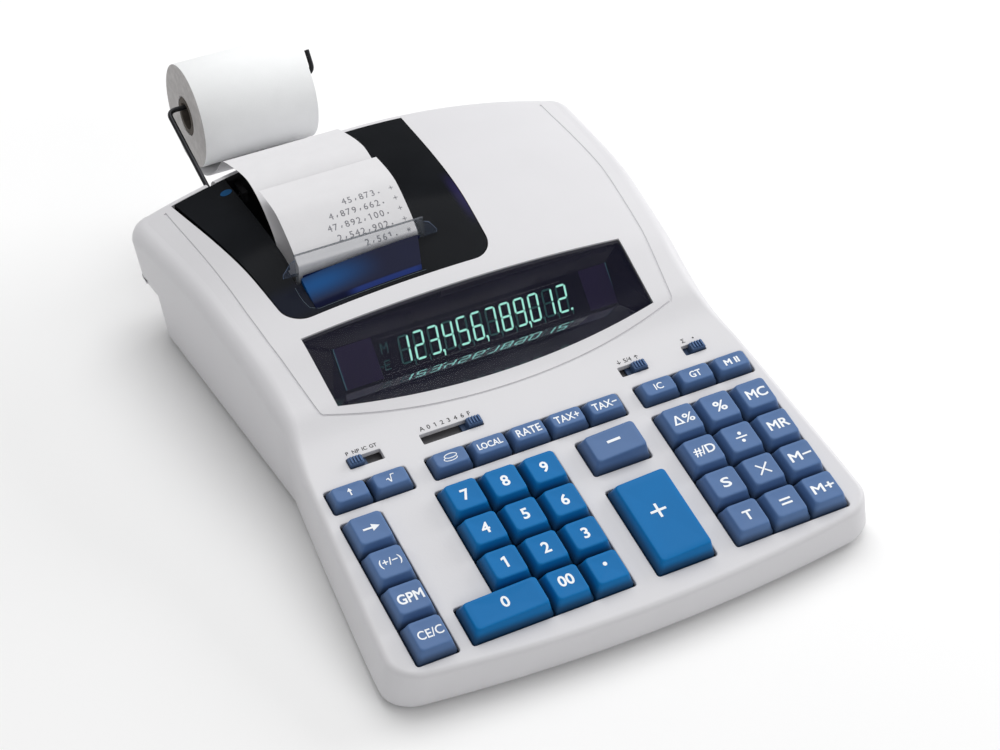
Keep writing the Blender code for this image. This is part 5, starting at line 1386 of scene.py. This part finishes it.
class CALCULATOR_OT_cover(bpy.types.Operator):
    """Smoked printer cover and the clear tear bar on it"""
    bl_idname = "calculator.cover"
    bl_label = "Printer cover"

    def execute(self, context):
        blank = case_skin("cover", COVER_WALL, "smoke")
        boolean(blank, [prism("cover_blank", cover_outline(RIM_GAP, 1.2), 34, CUT_TOP, (0, 1))],
                'INTERSECT')
        half = PAPER_HALF + 2.6
        slit = PAPER_HALF + 0.9
        outline = [(-half, 199.2), (half, 199.2), (half, 210.2), (slit, 210.2), (slit, 300), (-slit, 300),
                   (-slit, 210.2), (-half, 210.2)]
        boolean(blank, [prism("paper_notch", [(PAPER_X + x, d) for x, d in outline], 29, CUT_TOP)])
        cover = bake(blank, "smoked_cover", finish("smoke"), 40.0)
        mount(cover, "cover", "printer_cover")

        # The tear bar, its edge, the clips at its ends with painted glint lines along them, and the dark band
        # on its front
        half -= 0.3
        foot = BAR_FOOT

        def across(name, profile):
            return loft(name, [[at(x, d, z) for d, z in profile]
                               for x in (PAPER_X - half, PAPER_X + half)])

        bar = link("tear_plate", across("bar", (
            (foot, 63.0), (foot + 1.0, 63.0), (foot + 1.0, 73.1), (201.9, 82.5), (200.9, 82.5),
            (foot, 73.1))), finish("clear"))
        edge = link("tear_edge", across("edge", (
            (200.9, 82.5), (201.9, 82.5), (201.9, 82.8), (201.0, 82.8))), finish("clear_edge"))
        clips, glint_lines = [], []
        for side in (-1, 1):
            outer = PAPER_X + side * half
            reach = outer + side * 6.0
            wing = [(outer, 73.2), (outer, 81.5), (outer + side * 2.2, 80.6), (reach, 75.4), (reach, 73.4)]
            wing = [(x, max(z, top_height(x, 199.8) + 0.15)) for x, z in wing]
            clips.append(loft("wing", [[at(x, d, z) for x, z in wing] for d in (foot, foot + 0.4)]))
            # Wires along the clips' outline: painted highlight for the light caught on their clear edges
            corners = [at(x, 199.7, z) for x, z in wing[1:]]
            route = between(corners, 4) + [corners[-1]]
            glint_lines.append(grown("clip_rims", wire_group, {"Radius": 0.13 * MM, "Sides": 8}, "rim", route))
        clips = join("tear_clips", clips, finish("clip"))
        glint_lines = join("clip_rims", glint_lines, finish("rim"))
        low, high = PAPER_X - half + 3.0, PAPER_X + half - 2.6
        rings = [[at(low, d, 63.2), at(high, d, 63.2), at(high, d, 74.7), at(low, d, 72.2)]
                 for d in (foot - 0.25, foot)]
        band = link("tear_band", loft("band", rings), finish("band"))

        # The ramp before the bar: depth and lift over the case of every line, narrower in front
        profile = ((RAMP_FRONT, 0.02), (184.1, 0.5), (187.0, 0.75), (RAMP_REAR, 2.6), (RAMP_REAR, -0.3),
                   (191.0, -0.3))
        rings = []
        for step in range(13):
            share = step / 12
            rings.append([on_top(low - 1.0 + (high - low - 5.5 * (RAMP_REAR - d) / 15.5) * share, d, lift)
                          for d, lift in profile])
        ramp = link("blue_ramp", loft("ramp", rings), finish("ramp"))
        spot = [(-69.8 + 2.8 * math.cos(math.tau * k / 32), 276.0 + 2.2 * math.sin(math.tau * k / 32))
                for k in range(32)]
        rings = [[on_top(x, d, lift) for x, d in spot] for lift in (-0.3, 0.06)]
        mark = link("blue_spot", loft("spot", rings), finish("spot"))
        contour = [Vector(corner) for corner in (
            (low - 4.5, 198.0), (low - 4.5, 194.0), (low - 4.3, 190.0), (low - 3.2, 185.5),
            (low + 0.5, 183.2), (low + 30.0, 182.9), (high - 0.5, 182.9))]
        route = [on_top(spot.x, spot.y, 0.02) for spot in between(contour, 6)]
        line = link("contour_line", grown("contour_line", wire_group, {"Radius": 0.14 * MM, "Sides": 8},
                                          "line", route), finish("line"))
        mount(bar, "cover", "tear_bar")
        for piece in (edge, clips, glint_lines, band, ramp):
            mount(piece, "cover")
        for piece in (mark, line):
            mount(piece, "cover")
        return {'FINISHED'}


class CALCULATOR_OT_mechanism(bpy.types.Operator):
    """Finish of the printer's frame, platen, gears and ribbon box"""
    bl_idname = "calculator.mechanism"
    bl_label = "Printing mechanism"

    def execute(self, context):
        repaint((("printer_frame", "steel"), ("platen_roller", "rubber"), ("drive_pinion", "gear"),
                 ("ribbon_box", "ribbon")))
        return {'FINISHED'}


class CALCULATOR_OT_roll(bpy.types.Operator):
    """Paper roll, its card core and the wire arm"""
    bl_idname = "calculator.roll"
    bl_label = "Paper roll"

    def execute(self, context):
        layers = look().paper_layers
        low, high = PAPER_X - PAPER_HALF, PAPER_X + PAPER_HALF

        def end_rings(x, sink):
            """Rings of one end of the roll, every second winding sunk a little."""
            return [circle(x + (sink if k % 2 else 0.0), ROLL,
                           ROLL_BORE + (ROLL_RADIUS - ROLL_BORE) * (k / layers)
                           - (0.05 if k == layers else 0.0), 96) for k in range(layers + 1)]

        rings = end_rings(low, 0.12)
        rings += [circle(x, ROLL, ROLL_RADIUS, 96) for x in (low + 0.1, high - 0.1)]
        rings += end_rings(high, -0.12)[::-1]
        roll = link("wound_roll", loft("wound_roll", rings, True, 50.0), finish("paper"))
        # The ends take the greyer finish: layered paper edge and painted shade
        roll.data.materials.append(finish("roll_end"))
        for face in roll.data.polygons:
            face.material_index = 1 if abs(face.normal.x) > 0.5 else 0
        mount(roll, "roll", "paper_roll")
        rings = [circle(x, ROLL, radius, 48) for x, radius in (
            (low, 9.05), (low + 0.25, 9.3), (high - 0.25, 9.3), (high, 9.05),
            (high, CORE_BORE), (low, CORE_BORE))]
        core = link("card_core", loft("card_core", rings, True), finish("card"))
        mount(core, "roll", "roll_core")

        wire_height = ROLL[1] + CORE_BORE - WIRE_RADIUS - 0.3
        hook = (11.0 * math.cos(math.radians(50)), 11.0 * math.sin(math.radians(50)))
        corners = [Vector(corner) for corner in (
            (37.4, ROLL[0] + hook[0], wire_height + hook[1]), (37.4, ROLL[0], wire_height),
            (-37.4, ROLL[0], wire_height), (-ARM_LEG, *HINGE), (ARM_PIVOT_END, *HINGE))]
        points = [corners[0]]
        for before, here, after in zip(corners, corners[1:], corners[2:]):
            points += bend(before, here, after, 4, 8)
        points.append(corners[-1])
        route = [at(PAPER_X + p.x, p.y, p.z) for p in points]
        mesh = grown("wire_arm", wire_group, {"Radius": WIRE_RADIUS * MM, "Sides": 16}, "wire", route)
        mesh.shade_smooth()
        mesh.set_sharp_from_angle(angle=math.radians(50))
        mount(link("wire_arm", mesh, finish("wire")), "arm", "roll_arm")
        return {'FINISHED'}


def strip_route():
    """Middle line of the paper strip, depth and height, in fine steps, and its running length."""
    low = ROLL[1] - ROLL_RADIUS - 0.5
    points = [Vector((PLATEN[0] + (ROLL[0] - PLATEN[0]) * a, low + (LOOP_TOP - low) * r))
              for a, r in feed_shares]
    points += [Vector((PLATEN[0] + WRAP_RADIUS * math.cos(math.radians(t)),
                       PLATEN[1] + WRAP_RADIUS * math.sin(math.radians(t)))) for t in wrap_angles]
    points += [Vector((PRINTED_START[0] + PRINTED_SPANS[0] * a, PRINTED_START[1] + PRINTED_SPANS[1] * r))
               for a, r in printed_shares]
    fine = []
    for index in range(len(points) - 1):
        p0 = points[max(index - 1, 0)]
        p1, p2 = points[index], points[index + 1]
        p3 = points[min(index + 2, len(points) - 1)]
        for k in range(6):
            t = k / 6
            fine.append(0.5 * ((2 * p1) + (p2 - p0) * t + (2 * p0 - 5 * p1 + 4 * p2 - p3) * t * t
                               + (3 * p1 - p0 - 3 * p2 + p3) * t ** 3))
    fine.append(points[-1])
    lengths = [0.0]
    for a, b in zip(fine, fine[1:]):
        lengths.append(lengths[-1] + (b - a).length)
    return fine, lengths


def tape_sign(name):
    """The small cross or star that the printer sets beside a number."""
    meshes = []
    for turn in (0, 90) if name == "plus" else (0, 60, 120):
        mesh = sign_mesh("minus", 2.0, 0.34, 0, 0.02)
        mesh.transform(Matrix.Rotation(math.radians(turn), 4, 'Z'))
        meshes.append(mesh)
    return merged("tape_sign", meshes)


class CALCULATOR_OT_strip(bpy.types.Operator):
    """The paper strip and the figures printed on it"""
    bl_idname = "calculator.strip"
    bl_label = "Paper strip"

    def execute(self, context):
        route, lengths = strip_route()
        total = lengths[-1]

        def strip_place(x, s, lift):
            s = min(max(s, 0.0), total)
            index = max(i for i in range(len(lengths) - 1) if lengths[i] <= s or i == 0)
            span = lengths[index + 1] - lengths[index]
            spot = route[index].lerp(route[index + 1], (s - lengths[index]) / span)
            along = (route[min(index + 2, len(route) - 1)] - route[max(index - 1, 0)]).normalized()
            normal = Vector((-along.y, along.x))
            spot = spot + normal * lift
            return at(PAPER_X + x, spot.x, spot.y)

        thick, across = 0.06, 12
        shape = bmesh.new()
        loops = []
        for s in lengths:
            top = [(-PAPER_HALF + 2 * PAPER_HALF * k / across, thick) for k in range(across + 1)]
            ring = top + [(x, -thick) for x, _ in reversed(top)]
            loops.append([shape.verts.new(strip_place(x, s, lift)) for x, lift in ring])
        for first, second in zip(loops, loops[1:]):
            bridge(shape, first, second)
        for loop in (loops[0], loops[-1]):
            for k in range(across):
                shape.faces.new((loop[k], loop[k + 1], loop[2 * across - k], loop[2 * across + 1 - k]))
        strip = link("paper_tape", mesh_from("paper_tape", shape, 50.0), finish("strip"))
        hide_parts("paper_strip")
        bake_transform(strip)

        exit_at = min(s for s, p in zip(lengths, route) if p.x < 206 and p.y > 73.0 and s > total * 0.6)
        lines = (("2,561.", "star"), ("2,542,902.", "plus"), ("47,892,100.", "plus"),
                 ("4,879,662.", "plus"), ("45,873.", "plus"))
        words = []
        for row, (label, sign) in enumerate(lines):
            s = exit_at + PRINT_START + PRINT_STEP * row
            drawn = [(character, 19.0 - FIGURE_STEP * k) for k, character in enumerate(reversed(label))]
            drawn.append((sign, 25.2))
            for character, x in drawn:
                shift = 0.0
                if character == ".":
                    mesh, shift = sign_mesh("dot", 0.8, 0.8, 0, 0.02), -0.7
                elif character == ",":
                    mesh, shift = sign_mesh("comma", 0.5, 1.1, 0.5, 0.02), -0.6
                elif character in ("plus", "star"):
                    mesh = tape_sign(character)
                else:
                    mesh = sign_mesh(character, 0, 3.1, 0.08 if row else 0.2, 0.02)

                def place(px, py, pz, x=x, s=s, shift=shift):
                    return strip_place(px + x, s + py + shift, thick + 0.01 + pz)

                words.append(lay(mesh, place))
        mount(join("printed_figures", words, finish("ink")), "case")
        return {'FINISHED'}


class CALCULATOR_OT_stage(bpy.types.Operator):
    """Plain pale floor, soft studio light and the camera"""
    bl_idname = "calculator.stage"
    bl_label = "Stage"

    def execute(self, context):
        scene = context.scene
        data = bpy.data.cameras.new("camera")
        data.sensor_width = 36.0
        data.lens = CAMERA_LENS
        data.clip_start = 0.01
        camera = bpy.data.objects.new("camera", data)
        scene.collection.objects.link(camera)
        camera.location = at(*CAMERA_PLACE)
        camera.rotation_euler = Vector(CAMERA_LOOK).to_track_quat('-Z', 'Y').to_euler()
        scene.camera = camera

        shape = bmesh.new()
        bmesh.ops.create_grid(shape, x_segments=1, y_segments=1, size=4.0)
        floor = link("floor", mesh_from("floor", shape), finish("floor"))
        floor.location.z = -0.0002

        scene.view_settings.view_transform = 'Standard'
        world = bpy.data.worlds.new("studio")
        world.use_nodes = True
        world.node_tree.nodes["Background"].inputs["Color"].default_value = (1.0, 1.0, 1.0, 1.0)
        world.node_tree.nodes["Background"].inputs["Strength"].default_value = 0.46
        scene.world = world

        def light(name, place, target, size, power):
            lamp = bpy.data.lights.new(name, 'AREA')
            lamp.shape = 'RECTANGLE'
            lamp.size, lamp.size_y = size
            lamp.energy = power
            holder = bpy.data.objects.new(name, lamp)
            scene.collection.objects.link(holder)
            holder.location = place
            holder.rotation_euler = (Vector(target) - Vector(place)).to_track_quat('-Z', 'Y').to_euler()

        power = look().light_power
        light("softbox_top", (0.25, 0.55, 1.5), (0, 0.05, 0.03), (1.4, 1.2), power * 0.93)
        light("softbox_right", (1.5, 0.25, 0.7), (0, 0, 0.03), (1.0, 0.8), power * 0.7)
        light("softbox_front", (0.5, -1.5, 1.1), (0, 0, 0.03), (1.2, 0.6), power * 0.26)
        return {'FINISHED'}


class CALCULATOR_PT_panel(bpy.types.Panel):
    """Sidebar panel that lists the pieces"""
    bl_label = "Calculator"
    bl_idname = "CALCULATOR_PT_panel"
    bl_space_type = 'VIEW_3D'
    bl_region_type = 'UI'
    bl_category = "Calculator"

    def draw(self, context):
        settings = context.scene.calculator_look
        for name in ("case_colour", "number_key_colour", "function_key_colour", "groove_radius",
                     "light_power", "paper_layers"):
            self.layout.prop(settings, name)
        for step in steps:
            self.layout.operator(step.bl_idname)


steps = (CALCULATOR_OT_stage, CALCULATOR_OT_case, CALCULATOR_OT_base, CALCULATOR_OT_keys,
         CALCULATOR_OT_switches, CALCULATOR_OT_display, CALCULATOR_OT_cover, CALCULATOR_OT_mechanism,
         CALCULATOR_OT_roll, CALCULATOR_OT_strip)
classes = (CalculatorLook, *steps, CALCULATOR_PT_panel)


def register():
    """Make the settings, operators and panel known."""
    for each in classes:
        bpy.utils.register_class(each)
    bpy.types.Scene.calculator_look = PointerProperty(type=CalculatorLook)


def unregister():
    """Take the settings, operators and panel out again."""
    del bpy.types.Scene.calculator_look
    for each in reversed(classes):
        bpy.utils.unregister_class(each)


def main():
    """Build every piece."""
    register()
    bpy.ops.calculator.stage()
    bpy.ops.calculator.case()
    bpy.ops.calculator.base()
    bpy.ops.calculator.keys()
    bpy.ops.calculator.switches()
    bpy.ops.calculator.display()
    bpy.ops.calculator.cover()
    bpy.ops.calculator.mechanism()
    bpy.ops.calculator.roll()
    bpy.ops.calculator.strip()


if __name__ == "__main__":
    main()
